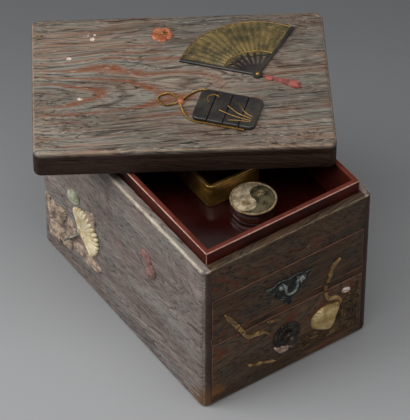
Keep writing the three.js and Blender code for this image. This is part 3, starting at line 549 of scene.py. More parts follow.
shader, place, tone = opened("tray_rim_lacquer")
TOP_LIGHT_FROM, TOP_LIGHT_FULL = 0.2007, 0.2013
# Painted light: the rim's flat top is painted lighter where the light falls on it, broken by noise
patchy = mapped(noise(place, 60.0, 60.0), 0.3, 0.6, 0.55, 1.0)
top = mapped(split(place)[2], TOP_LIGHT_FROM, TOP_LIGHT_FULL)
tone = mixed(times(top, patchy), tone, colour("633026"))
# Painted highlight: a pale line along the rim's arris
arris_highlight = edge_wear_and_highlight(vector("SUBTRACT", place, (0.0, 0.0, 0.1415)), (90.4, 137.4, 60), 1.6)
fill(shader, {"Base Color": mixed(arris_highlight, tone, colour("d3a794")), "Specular IOR Level": 0.12})

for name, hinge, first, last, ribs, growth, groove in (
    ("shell_gold", (59.5, -147.4, 58.5), 180, 284, 18, 9.0, "7d6032"),
    ("pearl", (0, -147.4, 34.5), 150, 290, 8, 4.5, "4c3128"),
):
    shader, place, tone = opened(name)
    away = vector("SUBTRACT", place, in_metres(hinge))
    sides = split(away)
    angle = calc("ADD", calc("ARCTAN2", sides[2], sides[0]), 2 * pi - radians(first))
    share = times(angle, ribs / radians(last - first))
    valley = mapped(calc("PINGPONG", share, 0.5), 0.0, 0.2, 0.85, 0.0)
    band = calc("FRACT", calc("DIVIDE", distance(away), growth * MM))
    valley = calc("MAXIMUM", valley, mapped(band, 0.72, 0.98, 0.0, 0.3))
    fill(shader, {"Base Color": mixed(valley, tone, colour(groove))})
    print(name, "has", ribs, "ribs")

# %% [markdown]
# Every inlay is first made flat, in millimetres, with X and Y in the face and Z out of it. A
# matrix for each face then carries it to the lid, the left side, the front or a box in the
# tray, so that the object itself stays at the origin.


# %% Faces
def basis(across, up, origin):
    x, y = Vector(across), Vector(up)
    turn = Matrix((x, y, x.cross(y))).transposed().to_4x4()
    return Matrix.Scale(MM, 4) @ Matrix.Translation(origin) @ turn


X, Y, Z = (1, 0, 0), (0, 1, 0), (0, 0, 1)
slant = radians(LID_TURN)
lid_axes = (cos(slant), sin(slant), 0), (-sin(slant), cos(slant), 0)
front, box_middle = basis(X, Z, (0, -147.4, 0)), basis(X, Y, (9.5, -73, 155.6))
# A place is a face's matrix and the body that a piece on it rides on
LID = basis(*lid_axes, (9, 52, 232.8)), "lid"
SIDE = basis((0, -1, 0), Z, (-100, 147, 0)), "case"
RAIL = basis(X, Z, (0, -147.0, 0)), "case"
UPPER, LOWER, BAIL = (front, "upper_drawer"), (front, "lower_drawer"), (front, "handle_bail")
TRAY, GOLD_BOX = [(basis(X, Y, (0, 0, 0)), body) for body in ("tray", "gold_box")]
INCENSE, INCENSE_LID = [(box_middle, body) for body in ("incense_box", "incense_box_lid")]
SUNK = -0.25
print("inlays are sunk", -SUNK, "mm into the wood")

# %% [markdown]
# A shell is a list of points and a list of faces. `loft` joins equal rings of points into one
# closed shell, and `settle` makes shells one piece of the casket that rides on its body.
# Lists are shorter to write and easier to bend than a mesh in edit mode.


# %% Shells
def loft(rings, closed=False):
    count = len(rings[0])
    points = [p for ring in rings for p in ring]
    faces = []
    for r in range(len(rings) if closed else len(rings) - 1):
        near, far = r * count, (r + 1) % len(rings) * count
        for i in range(count):
            j = (i + 1) % count
            faces.append((near + i, near + j, far + j, far + i))
    if not closed:
        for first in (0, (len(rings) - 1) * count):
            ring = points[first : first + count]
            points.append(tuple(sum(p[k] for p in ring) / count for k in range(3)))
            faces += [(first + i, first + (i + 1) % count, len(points) - 1) for i in range(count)]
    return points, faces


def skin(shell):
    mesh = bpy.data.meshes.new("skin")
    mesh.from_pydata(shell[0], [], shell[1])
    return mesh


def moved(shape, matrix):
    """Carries a shell or a mesh."""
    if isinstance(shape, bpy.types.Mesh):
        shape.transform(matrix)
        return shape
    points, faces = shape
    return [tuple(matrix @ Vector(p)) for p in points], faces


def spot(x, y, turn=0.0, z=0.0):
    return Matrix.Translation((x, y, z)) @ Matrix.Rotation(radians(turn), 4, "Z")


def finished(work, name, paint, body, replaces, smooth, matrix=Matrix()):
    """Turns a bmesh into a smooth piece that rides on a body and may replace CAD nodes."""
    mesh = bpy.data.meshes.new(name)
    work.to_mesh(mesh)
    work.free()
    mesh.transform(matrix)
    mesh.materials.append(paints[paint])
    mesh.polygons.foreach_set("use_smooth", [True] * len(mesh.polygons))
    mesh.set_sharp_from_angle(angle=radians(smooth))
    piece = new_object(name, mesh)
    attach(piece, body)
    if replaces:
        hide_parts(*replaces)
    print(name, len(mesh.polygons), "faces")


def settle(name, paint, place, *shapes, replaces=(), smooth=40.0):
    """Joins flat shapes, cleans them and carries them to their place."""
    work = bmesh.new()
    for shape in shapes:
        work.from_mesh(shape if isinstance(shape, bpy.types.Mesh) else skin(shape))
    bmesh.ops.remove_doubles(work, verts=work.verts, dist=0.004)
    bmesh.ops.dissolve_degenerate(work, edges=work.edges, dist=0.001)
    bmesh.ops.recalc_face_normals(work, faces=work.faces)
    matrix, body = place
    finished(work, name, paint, body, replaces, smooth, matrix)


# %% [markdown]
# Four kinds of shell cover most of the carving: a strip along a route, a relief inside a
# drawn outline, a lathe shape and a boss. A smooth line through a few points stands for the
# carver's drawing, because it needs less to write and to mend than a list of many points.


# %% Kinds of shell
def through(points, share):
    """A point on the smooth line through the given points."""
    steps = share * (len(points) - 1)
    i = min(int(steps), len(points) - 2)
    t = steps - i
    a, b, c, d = [points[min(max(k, 0), len(points) - 1)] for k in (i - 1, i, i + 1, i + 2)]
    return tuple(
        0.5 * (2 * q + (r - p) * t + (2 * p - 5 * q + 4 * r - s) * t * t + (3 * q - p - 3 * r + s) * t**3)
        for p, q, r, s in zip(a, b, c, d)
    )


def smooth_line(points, count=60):
    return [through(points, k / count) for k in range(count + 1)]


def strip(route, half_width, height, steps=36, across=8):
    """A relief along a route: half_width(t), and height(t, s) with s from -1 to 1 across."""
    rings = []
    for k in range(steps + 1):
        t = k / steps
        x, y = through(route, t)[:2]
        x0, y0 = through(route, max(t - 0.01, 0.0))[:2]
        x1, y1 = through(route, min(t + 0.01, 1.0))[:2]
        long = hypot(x1 - x0, y1 - y0) or 1.0
        nx, ny = -(y1 - y0) / long, (x1 - x0) / long
        w = half_width(t)
        ring = []
        for i in range(across + 1):
            s = -1 + 2 * i / across
            ring.append((x + nx * w * s, y + ny * w * s, height(t, s)))
        ring += [(x + nx * w, y + ny * w, SUNK), (x - nx * w, y - ny * w, SUNK)]
        rings.append(ring)
    return loft(rings)


def outlined(points, heart, height, steps=96, rings=10, tooth=0.0, teeth=24):
    """A relief inside a drawn outline. Its rings run from the heart to the edge."""
    edge = []
    for k in range(steps):
        x, y = through(points + points[:1], k / steps)
        out = 1 + tooth * (abs((k * teeth / steps) % 1.0 * 2 - 1) - 0.5)
        edge.append(((x - heart[0]) * out, (y - heart[1]) * out))
    rows = []
    for r in range(rings + 1):
        q = 0.004 + 0.996 * r / rings
        rows.append([(heart[0] + x * q, heart[1] + y * q, height(q, atan2(y, x))) for x, y in edge])
    rows.append([(x, y, SUNK) for x, y, _ in rows[-1]])
    return loft(rows)


def polar(radius, angle, z, x=0.0, y=0.0):
    return x + radius * cos(angle), y + radius * sin(angle), z


def circle(count):
    return [2 * pi * i / count for i in range(count)]


def lathe_rings(profile, count):
    return [[polar(radius, a, z) for a in circle(count)] for radius, z in profile]


def turned(profile, count=72):
    """A lathe shape round Z from (radius, height) points. It starts and ends on the axis."""
    return loft(lathe_rings([(max(radius, 0.001), z) for radius, z in profile], count))


def boss(edge, height, steps=48, rings=7):
    """A mound. edge(a) is its radius at an angle, height(q, a) its height from middle to edge."""
    rows = [[polar(0.002, a, height(0, 0)) for a in circle(steps)]]
    for k in range(1, rings + 1):
        q = k / rings
        rows.append([polar(q * edge(a), a, height(q, a)) for a in circle(steps)])
    rows.append([(x, y, SUNK) for x, y, _ in rows[-1]])
    return loft(rows)


def even(value):
    return lambda *_: value


def rounded(high, fall, foot=0.0):
    """A height that falls off towards the edge."""
    return lambda q, a: foot + high * sqrt(1 - fall * q * q)


def arch(share, least=0.03):
    """A swelling from end to end that never closes quite."""
    return sin(pi * min(max(share, least), 1 - least))


def ridge(s, least=0.05):
    """A half-round section, with s from -1 to 1 across."""
    return sqrt(max(least, 1 - s * s))


def notch(offset, width):
    """1 in the middle of a groove, and next to nothing two widths away."""
    return exp(-((offset / width) ** 2))


print("shells ready")

# %% [markdown]
# What repeats is grown by Geometry Nodes. `grow` runs a tree on a bare host, keeps the result as a plain mesh
# and removes the host and its guides, so no modifier is left. A modifier knows an input only by its socket's
# identifier.


# %% Geometry Nodes helpers
def new_geometry(name, inputs):
    tree, given = new_tree("Geometry", name, {**inputs, "Material": "Material"}, ["Geometry"])
    return tree, given


def geo(tree, kind, values=None, output=0, **settings):
    return put(tree, "GeometryNode" + kind, values, **settings).outputs[output]


def shape_of(socket):
    return geo(socket.id_data, "ObjectInfo", {"Object": socket}, "Geometry")


def stepped(line, spacing):
    values = {"Curve": shape_of(line), "Length": spacing}
    return geo(line.id_data, "ResampleCurve", values, mode="LENGTH")


def chance(seed, low, high):
    return put(seed.id_data, "FunctionNodeRandomValue", {2: low, 3: high, "Seed": seed}).outputs[1]


def close_tree(geometry, given):
    tree = geometry.id_data
    real = geo(tree, "RealizeInstances", {0: geometry})
    values = {"Geometry": real, "Material": given["Material"]}
    put(tree, "NodeGroupOutput", {0: geo(tree, "SetMaterial", values)})
    print(tree.name, len(tree.nodes), "nodes")


def close_with_copies(points, given, turn, size):
    """Stands a copy on every point, turned and sized, and closes the tree."""
    values = {"Points": points, "Instance": shape_of(given["Copy"]), "Rotation": turn, "Scale": size}
    close_tree(geo(points.id_data, "InstanceOnPoints", values), given)


def grow(tree, paint, **values):
    """Runs a tree and returns its result as a plain mesh. Values go by the inputs' names."""
    values["material"] = paints[paint]
    host = new_object("host", bpy.data.meshes.new("host"))
    helpers = [host]
    for key, value in values.items():
        if isinstance(value, (bpy.types.Mesh, bpy.types.Curve)):
            values[key] = new_object("guide", value)
            helpers.append(values[key])
    modifier = host.modifiers.new("grow", "NODES")
    modifier.node_group = tree
    for item in tree.interface.items_tree:
        if item.in_out == "INPUT" and item.name.lower() in values:
            modifier[item.identifier] = values[item.name.lower()]
    graph = bpy.context.evaluated_depsgraph_get()
    mesh = bpy.data.meshes.new_from_object(host.evaluated_get(graph))
    host.modifiers.clear()
    for helper in helpers:
        bpy.data.objects.remove(helper)
    return mesh


# %% [markdown]
# This tree stands copies of one shape on an arc round a hub and stretches each to its own
# reach: petals of a chrysanthemum, sticks of a fan, threads of a tassel or stamens. An array
# modifier could turn the copies, but it couldn't make the middle ones longer.

# %% Copies on an arc
arc, given = new_geometry(
    "copies on an arc",
    {
        "Copy": "Object", "Count": 12, "Start": 0.0, "End": 6.2832, "Short": 1.0, "Long": 1.0,
        "Skew": 0.8, "Lift": 0.0, "Shuffle": 0.0, "Seed": 1,
    },
)
hub = geo(arc, "Points", {"Count": given["Count"]})
share = calc("DIVIDE", calc("ADD", geo(arc, "InputIndex"), 0.5), given["Count"])
sweep = calc("MULTIPLY_ADD", share, calc("SUBTRACT", given["End"], given["Start"]), given["Start"])
uneven = times(chance(given["Seed"], -1.0, 1.0), given["Shuffle"])
bulge = calc("SINE", times(calc("POWER", share, given["Skew"]), pi))
reach = calc("MULTIPLY_ADD", bulge, calc("SUBTRACT", given["Long"], given["Short"]), given["Short"])
reach = times(reach, calc("ADD", uneven, 1.0))
close_with_copies(hub, given, joined(0.0, given["Lift"], sweep), joined(reach, 1.0, 1.0))


def arced(shell, paint, count, start, end, short, long, **more):
    start, end = radians(start), radians(end)
    sizes = {"count": count, "start": start, "end": end, "short": short, "long": long}
    return grow(arc, paint, copy=skin(shell), **sizes, **more)


# %% [markdown]
# The second tree draws a wire along a line: the bail, the scrolls, the spirals. With more
# than one strand the line's tilt turns the section as it goes, which twists the strands into
# a cord. A curve's own bevel gives one round section only.

# %% Wires and cords
inputs = {"Line": "Object", "Radius": 0.5, "Strands": 1, "Spread": 0.0, "Twist": 0.0, "Spacing": 0.6}
wire, given = new_geometry("wire along a line", inputs)
tilt = times(geo(wire, "SplineParameter", output="Length"), given["Twist"])
route = geo(wire, "SetCurveTilt", {"Curve": stepped(given["Line"], given["Spacing"]), "Tilt": tilt})
around = geo(wire, "CurvePrimitiveCircle", {"Resolution": 10, "Radius": given["Radius"]})
hub = geo(wire, "Points", {"Count": given["Strands"]})
angle = calc("DIVIDE", times(geo(wire, "InputIndex"), 2 * pi), given["Strands"])
seat = joined(times(calc("COSINE", angle), given["Spread"]), times(calc("SINE", angle), given["Spread"]))
hub = geo(wire, "SetPosition", {"Geometry": hub, "Position": seat})
section = geo(wire, "InstanceOnPoints", {"Points": hub, "Instance": around})
section = geo(wire, "RealizeInstances", {0: section})
tube = geo(wire, "CurveToMesh", {"Curve": route, "Profile Curve": section, "Fill Caps": True})
close_tree(tube, given)


def line(points, cyclic=False):
    shape = bpy.data.curves.new("line", "CURVE")
    shape.dimensions = "3D"
    spline = shape.splines.new("POLY")
    spline.points.add(len(points) - 1)
    for at, point in zip(spline.points, points):
        at.co = (*point, 1.0)
    spline.use_cyclic_u = cyclic
    return shape


def wired(points, paint, radius, cyclic=False, **more):
    return grow(wire, paint, line=line(points, cyclic), radius=radius, **more)


# %% [markdown]
# The third tree sets copies along a line, leaning to the left and the right of it in turn.
# The carved weed beside the shell grows like this, blade by blade off its stem.

# %% Copies along a line
inputs = {"Line": "Object", "Copy": "Object", "Spacing": 3.0, "Splay": 0.6, "Shuffle": 0.2}
trail, given = new_geometry("copies along a line", {**inputs, "Small": 0.7, "Seed": 1})
tangent = split(geo(trail, "InputTangent"))
heading = calc("ARCTAN2", tangent[1], tangent[0])
side = calc("MULTIPLY_ADD", calc("MODULO", geo(trail, "InputIndex"), 2.0), 2.0, -1.0)
heading = calc("ADD", heading, times(side, given["Splay"]))
heading = calc("MULTIPLY_ADD", chance(given["Seed"], -1.0, 1.0), given["Shuffle"], heading)
size = mapped(geo(trail, "SplineParameter"), 0.0, 1.0, 1.0, given["Small"])
route = stepped(given["Line"], given["Spacing"])
close_with_copies(route, given, joined(0.0, 0.0, heading), joined(size, size, 1.0))


# %% [markdown]
# The boards keep the frame's shapes. A copy of each has its loose triangles merged, its long
# arrises softened, and is smooth only where it is round, so that the joints catch light.


# %% Boards
SHARP, LONG = 0.6, 6.0


def refined(node, paint, bevel=0.4, smooth=35.0):
    """Dresses a CAD node in a cleaned copy of itself. The bevel is in millimetres."""
    work = bmesh.new()
    work.from_mesh(nodes[node].data)
    bmesh.ops.remove_doubles(work, verts=work.verts, dist=0.00001)
    bmesh.ops.recalc_face_normals(work, faces=work.faces)
    bmesh.ops.dissolve_limit(work, angle_limit=radians(0.5), verts=work.verts, edges=work.edges)
    if bevel:
        arrises = [e for e in work.edges if e.is_manifold and e.calc_face_angle() > SHARP]
        arrises = [e for e in arrises if e.calc_length() > LONG * MM]
        settings = {"segments": 2, "profile": 0.5, "affect": "EDGES", "clamp_overlap": True}
        bmesh.ops.bevel(work, geom=arrises, offset=bevel * MM, **settings)
    finished(work, node + ".dressed", paint, nodes[node]["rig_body"], [node], smooth)


boards = {"case_left_side": "wood_left", "case_right_side": "wood_right", "case_back": "wood_back"}
boards.update({"case_bottom": "wood_sill", "case_front_band": "wood_band", "tray_shelf": "wood_inner"})
boards.update({"divider_rail": "wood_rail", "dust_board": "wood_inner", "lid_board": "wood_lid"})
boards.update({f"lid_{side}_wall": "wood_lid" for side in ("front", "back", "left", "right")})
boards.update({f"{drawer}_front": f"wood_{drawer}" for drawer in ("upper_drawer", "lower_drawer")})
for drawer in ("upper_drawer", "lower_drawer"):
    boards.update({f"{drawer}_{part}": "wood_drawer_box" for part in ("left", "right", "back", "bottom")})
for node, paint in boards.items():
    refined(node, paint, 0.12 if paint == "wood_lid" else 0.4)

# %% [markdown]
# The tray is lacquered over, so its mitred walls read as one frame. A profile with rounded
# lips is carried round a rectangle whose corners are barely eased. Four bevelled boards
# would show their joints.


# %% Tray
def eased_ring(half, low, high, low_corner, high_corner, z, steps=5):
    """A rectangle with eased corners. It is half wide to either side and goes from low to high."""
    ring = []
    corners = [(side, high - high_corner, high_corner) for side in (1, -1)]
    corners += [(side, low + low_corner, low_corner) for side in (-1, 1)]
    for k, (side, y, radius) in enumerate(corners):
        x = side * (half - radius)
        ring += [polar(radius, pi / 2 * (k + i / steps), z, x, y) for i in range(steps + 1)]
    return ring


def rim_round(half, high, low_corner, high_corner, profile, low=None):
    """Rings for a profile of (inset, height) points round a rectangle."""
    low = -high if low is None else low
    rings = []
    for inset, z in profile:
        corners = max(low_corner - inset, 0.3), max(high_corner - inset, 0.3)
        rings.append(eased_ring(half - inset, low + inset, high - inset, *corners, z))
    return rings


lip = [(0, 151.3), (0, 200.0), (0.25, 200.8), (0.8, 201.35), (1.5, 201.5)]
lip += [(4.6, 201.5), (5.3, 201.3), (5.8, 200.8), (6, 200.0), (6, 151.3)]
walls = loft(rim_round(90.4, 137.4, 2.2, 2.2, lip), closed=True)
wall_nodes = [f"tray_{side}_wall" for side in ("left", "right", "front", "back")]
settle("tray_walls", "tray_rim_lacquer", TRAY, walls, replaces=wall_nodes)
refined("tray_floor", "tray_lacquer", 0.2)

# %% [markdown]
# The gold box in the tray is made the same way and closed by its floor. Its sides are gold painted dark, as
# painted shade from the lid that hangs over them, and its lip is a thin band of the brighter gold.

# %% Gold box
stands_at = Matrix.Translation((5.5, -6, 155.6))
brim = [(0.6, 0), (0, 0.7), (0, 25.4), (0.35, 26.4), (1.2, 27), (3.2, 27), (4.05, 26.5), (4.4, 25.6)]
brim += [(4.4, 3.6), (5.2, 3)]
walls = moved(loft(rim_round(31, 42, 6, 6, brim)), stands_at)
settle("gold_box_shell", "gold_box_side", GOLD_BOX, walls, replaces=["gold_box"])
band = [(-0.12, 22.6), (-0.12, 25.4), (0.3, 26.5), (1.2, 27.12), (3.2, 27.12), (4.3, 26.4), (4.52, 24.5)]
band += [(4.3, 24.4), (2.2, 26.4), (0.2, 22.6)]
band = moved(loft(rim_round(31, 42, 6, 6, band), closed=True), stands_at)
settle("gold_box_lip", "gold_lacquer", GOLD_BOX, band)

# %% [markdown]
# The incense box is turned on a lathe: a base, a lid over its collar, and a pale rim. Its top
# is divided into two commas, each with a spiral, the old sign of two halves that turn into
# each other. The commas keep the frame's shape, and the spirals are wires along a line.

# %% Incense box
FINE_TURNS = 96
base = [(0, 0), (21.6, 0), (22.8, 0.4), (23.3, 1.3), (23.3, 7.7), (22.9, 8.2), (21.9, 8.2), (21.9, 10.8)]
base += [(20.9, 10.8), (20.9, 2.4), (0, 2.4)]
cover = [(0, 12.1), (22.2, 12.1), (22.2, 8.5), (22.9, 8.5), (23.3, 9.0), (23.3, 14.5), (0, 14.5)]
ring = [(21.4, 14.5), (23.35, 14.5), (23.35, 15.3), (23.0, 15.8), (22.4, 15.95), (21.8, 15.8), (21.4, 15.4)]
ring = loft(lathe_rings(ring, FINE_TURNS), closed=True)
lacquer = "incense_box_lacquer"
settle("incense_base", lacquer, INCENSE, turned(base, FINE_TURNS), replaces=["incense_box_base"])
settle("incense_lid", lacquer, INCENSE_LID, turned(cover, FINE_TURNS), replaces=["incense_box_lid"])
settle("incense_rim", "pale_rim", INCENSE_LID, ring, replaces=["incense_box_rim"])
refined("incense_box_light_inlay", "silver_lacquer", 0)
refined("incense_box_dark_inlay", "olive_lacquer", 0)


def spiral(x, y, z, first, last, turns, count=70):
    points = []
    for i in range(count + 1):
        a, radius = 2 * pi * turns * i / count, first + (last - first) * i / count
        points.append(polar(radius, a, z, x, y))
    return points


for tone, sign, paint in (("light", -1, "gold_box_side"), ("dark", 1, "pale_rim")):
    curl = spiral(sign * 10.4, sign * 2.2, 15.42, 0.4, 4.4, 2.6)
    settle(f"incense_spiral_{tone}", paint, INCENSE_LID, wired(curl, paint, 0.3))

# %% [markdown]
# A petal is a narrow relief that swells towards its round tip and has a shallow groove. Its
# length is 1, because the arc tree stretches each copy to its own reach. One formula gives
# ivory petals, the iron ones of the rosette and the coral ones of the blossom.


# %% Petals
def petal(half_width, high, root=0.08, groove=0.35, round_at=0.78):
    def ending(t):
        return max(0.0, (t - round_at) / (1 - round_at))

    def half(t):
        swell = 0.3 + 0.7 * sin(0.5 * pi * min(t / round_at, 1.0))
        return half_width * swell * ridge(ending(t), 0.0) + 0.02

    def height(t, s):
        mound = sqrt(max(0.0, 1 - 0.92 * s * s)) * ridge(ending(t), 0.04)
        cut = groove * notch(s, 0.22) * sin(pi * t)
        return high * mound * (0.7 + 0.3 * t) - cut

    return strip([(root, 0), (0.4, 0), (0.7, 0), (1, 0)], half, height, 18, 8)


print("petal:", len(petal(2.7, 3.8)[0]), "points")

# %% [markdown]
# The left side carries an ivory chrysanthemum in profile. Its long petals fan out from a hub,
# short ones lie over them, and a pale green button closes the middle. Each row is made of
# copies of one petal, so it comes out even, and only the reach of a petal changes.

# %% Chrysanthemum
HUB = (74.5, 68.5)
at_hub = spot(*HUB)
petals = arced(petal(2.7, 3.8, groove=0.7), "ivory", 16, -38, 113, 28.5, 37, skew=1.15, lift=-0.02)
settle("chrysanthemum", "ivory", SIDE, moved(petals, at_hub), replaces=["side_flower"])
short_petals = arced(petal(1.6, 4.4), "ivory", 8, -15, 100, 8, 11, skew=0.8)
settle("chrysanthemum_heart", "ivory", SIDE, moved(short_petals, at_hub))


def button_height(q, a):
    return 4.4 * sqrt(1 - 0.8 * q * q) + 0.2 * cos(8 * a) * q


button = moved(boss(lambda a: 3.4 + 0.3 * cos(8 * a), button_height), at_hub)
settle("chrysanthemum_button", "pale_green", SIDE, button, replaces=["side_flower_hub"])

# %% [markdown]
# Round the flower lie leaves of stained horn, each carved with veins that run from its heart
# to its tips. A drawn outline gives the lobes, a saw-tooth on it the small teeth, and a
# formula of the angle to the nearest vein cuts the grooves. The stem is a plain half-round
# strip that runs from the leaves up to the flower.


# %% Leaves and stem
def veined(high, tips, beads=0.0):
    """A leaf's face: a groove to every tip, ribs or beads between them, and a raised rim."""

    def height(q, a):
        turn = min(abs((a - radians(tip) + pi) % (2 * pi) - pi) for tip in tips)
        groove = notch(turn * q, 0.05)
        rib = abs(sin(pi * (7.0 * q - 2.2 * turn)))
        edge = 1 - 0.6 * q**6
        bead = beads * max(0.0, sin(4.5 * pi * q)) * max(0.0, cos(24 * a + 9 * q))
        rim = 0.6 * notch(q - 0.9, 0.06)
        mound = high * edge * (0.62 + 0.38 * sqrt(1 - q * q))
        return mound - 1.2 * groove * q * edge + 0.6 * rib * edge + bead + rim

    return height


rear = [(10, 74), (16, 71.5), (18.5, 66.5), (20.5, 72), (26, 71), (30, 69), (35, 72), (42, 74), (46, 73)]
rear += [(47.5, 68), (44, 60), (39, 50.5), (31, 49), (23, 46), (16, 46), (18, 50), (13.5, 52), (11.5, 59)]
rear += [(8.5, 65)]
low = [(16, 40), (14, 30), (13.5, 22.5), (19, 19.5), (27, 22.5), (34.5, 22), (38, 28.5), (45, 26.5), (50, 26)]
low += [(55.5, 27), (57.5, 35), (57, 41), (52, 41.5), (46, 41), (40, 44), (31, 44.5), (25, 45.5)]
near = [(58.5, 43), (63, 39), (68, 36), (74.5, 34.5), (77.5, 39), (83, 35), (89, 33), (94, 32.5), (93.5, 38)]
near += [(101, 36), (109.5, 37), (112, 43.5), (106, 46.5), (99, 48), (91, 50), (84, 49.5), (76, 49.5)]
near += [(69, 48)]
behind = [(51.5, 69), (49.5, 64), (50.5, 57), (46, 47), (47, 40.5), (55, 47), (64, 56), (63, 64), (57, 70)]
small = [(84, 104), (91, 109.5), (98, 111.5), (102.5, 108.5), (103.5, 101.5), (99.5, 91), (94.5, 91)]
small += [(91, 99)]
foliage = [
    outlined(rear, (28, 60), veined(2.6, (141, 122, 32, 203, 248, -35, 75), 1.1), 192, 26, 0.07, 30),
    outlined(low, (37, 35), veined(2.6, (165, 205, 240, -22, 20, 120, 290), 0.5), 192, 26, 0.06, 30),
    outlined(near, (84, 43), veined(2.5, (180, 222, -45, -12, 12, 90)), 144, 20, 0.08, 30),
    outlined(behind, (54.5, 60), veined(1.0, (90, 250, 20)), 72, 8, 0.06, 20),
]
settle("foliage", "leaf_taupe", SIDE, *foliage, replaces=["side_foliage"])
stem = [(45, 34), (53, 44), (61, 51), (70, 62)]
stem = strip(stem, even(1.2), lambda t, s: 4.2 * ridge(s), 24, 6)
settle("flower_stem", "stem_grey", SIDE, stem)
small = outlined(small, (96, 101), veined(2.0, (45, -70, 160)), 96, 16, 0.06, 20)
settle("small_leaf", "leaf_taupe", SIDE, small, replaces=["side_leaf_small"])

# %% [markdown]
# Above the leaves hangs a bud of pale green with long folds, and nearer the front a small
# red gourd. Both are mounds in drawn outlines, because neither is quite round.


# %% Bud and gourd
def bud_height(q, a):
    fold = abs(cos(4.4 * q * sin(a + 0.75))) ** 6
    return 3.9 * sqrt(1 - 0.92 * q * q) - 1.1 * (1 - q * q) ** 0.5 * fold


def dented(high, dent):
    def height(q, a):
        return high * sqrt(1 - 0.93 * q * q) - dent * notch(q - 0.55, 0.12) * abs(sin(2 * a))

    return height


bud = [(53, 110), (60, 116.5), (67, 118.5), (72, 115), (74, 109), (69.5, 102.5), (62, 98), (55.5, 98.5)]
bud = outlined(bud + [(52, 103.5)], (62.5, 108), bud_height, 72, 12)
settle("chrysanthemum_bud", "pale_green", SIDE, bud, replaces=["side_bud"])
crown = [(187, 138), (193, 138.8), (199, 138.6), (202.5, 134), (204, 129), (202.5, 124.5), (198.5, 123)]
crown += [(192.5, 126.5), (189, 130.5)]
bowl = [(199.5, 126.5), (204, 127.5), (208, 126.5), (212, 122), (211, 115.5), (206.5, 110), (200.5, 107)]
bowl += [(195.5, 107.5), (194, 113), (195.5, 119), (197.5, 123.5)]
leaf = [(192, 131), (187, 131.5), (182.5, 127), (187.5, 126), (193, 127.5)]
gourd = [
    outlined(crown, (197, 131.5), dented(2.9, 0.5), 64, 10),
    outlined(bowl, (203, 116.5), dented(3.6, 0.6), 64, 10),
    outlined(leaf, (188, 128.5), veined(1.3, (185, 20)), 48, 6),
]
settle("gourd", "brick_red", SIDE, *gourd, replaces=["side_gourd"])

# %% [markdown]
# The front is a shore. Seaweed crosses the rail from one drawer to the other, and it has to
# part when a drawer is pulled, so each length of it is a piece of its own on its own body,
# and it tapers only where its end is free.


# %% Seaweed
def weed(points, width, free_start, free_end, high=2.2, waves=3):
    def half(t):
        taper = min(1, 0.12 + t * 4) if free_start else 1
        taper *= min(1, 0.12 + (1 - t) * 4) if free_end else 1
        return width / 2 * taper * (0.86 + 0.18 * cos(2 * pi * waves * t))

    def height(t, s):
        nick = 0.25 * cos(2 * pi * 5 * waves * (t + 0.1 * abs(s)))
        return high * (0.55 + 0.45 * (1 - s * s) ** 0.5) - 0.7 * notch(s, 0.16) + nick * abs(s)

    return strip(points, half, height, 64, 12)


upper_left = [(-76.5, 120.5), (-70, 110.5), (-65, 102.5), (-61, 95.6)]
upper_right = [(61.5, 121.5), (54.8, 115.9), (50.8, 111.6), (50.2, 103.2), (47, 95.3)]
rail_left = [(-58.9, 91.2), (-56.8, 88.3), (-55.2, 85.7)]
rail_right = [(45.7, 92.1), (45.2, 88.5), (45, 85.2)]
lower_left = [(-53.8, 83.2), (-51.5, 78), (-47.5, 73.8), (-40.5, 72), (-35, 71.6), (-28.5, 68.8), (-22, 62.5)]
lower_right = [(45.5, 83.2), (45.2, 79.5), (47.4, 74.5), (51, 70.6), (55.2, 69.2), (60.3, 66.6)]
lower_right += [(63.6, 61.8), (61.5, 57.5)]
twigs = [[(-47.5, 33), (-40, 29.2), (-32, 25.6)], [(-35.5, 29.2), (-27, 25.2), (-14.5, 20.6)]]
reed = [(-25.5, 80.8), (-17, 78), (-8.5, 75)]
for name, place, replaces, *strands in (
    ("seaweed_upper_left", UPPER, ["upper_drawer_seaweed_left"], weed(upper_left, 5.8, True, False)),
    ("seaweed_upper_right", UPPER, ["upper_drawer_seaweed_right"], weed(upper_right, 4.6, True, False)),
    ("seaweed_rail_left", RAIL, (), weed(rail_left, 5, False, False, 2.2, 1)),
    ("seaweed_rail_right", RAIL, (), weed(rail_right, 4.3, False, False, 2.2, 1)),
    ("seaweed_lower_left", LOWER, ["lower_drawer_seaweed_left"], weed(lower_left, 4.8, False, True)),
    ("seaweed_lower_right", LOWER, ["lower_drawer_seaweed_right"], weed(lower_right, 5, False, True, 2.6)),
    ("golden_twig", LOWER, ["gold_twig"], *[weed(twig, 3.4, True, True, 1.8, 1) for twig in twigs]),
    ("pale_reed", LOWER, (), weed(reed, 3.6, True, True, 1.7, 1)),
):
    settle(name, "pale_gold", place, *strands, replaces=replaces)

# %% [markdown]
# Among the weed lie shells: a gilt scallop whose ribs spread from its hinge, a pink whelk, a
# cowrie with its slit and a small snail. Each is a relief in its outline with ribs or folds
# in its height, because a sculpted mesh would be harder to change.


# %% Shells of the shore
def scallop_height(q, a):
    rib = abs(sin((degrees(a) % 360 - 180) * pi / 5.8)) ** 0.7
    edge = 1 - 0.7 * max(0.0, (q - 0.9) / 0.1) ** 2
    mound = 3.0 * edge * sin(pi * (0.14 + 0.74 * q)) ** 0.7
    return mound + edge * q * 1.1 * rib + 0.12 * ((4.2 * q) % 1.0 - 0.5) * edge


def whelk_height(q, a):
    return 2.4 * sqrt(1 - 0.9 * q * q) - 0.9 * q * abs(sin(4 * a)) ** 4


def cowrie_height(t, s):
    return 2.3 * ridge(s) * sqrt(max(0.1, arch(t))) - 1.5 * notch(s, 0.16)


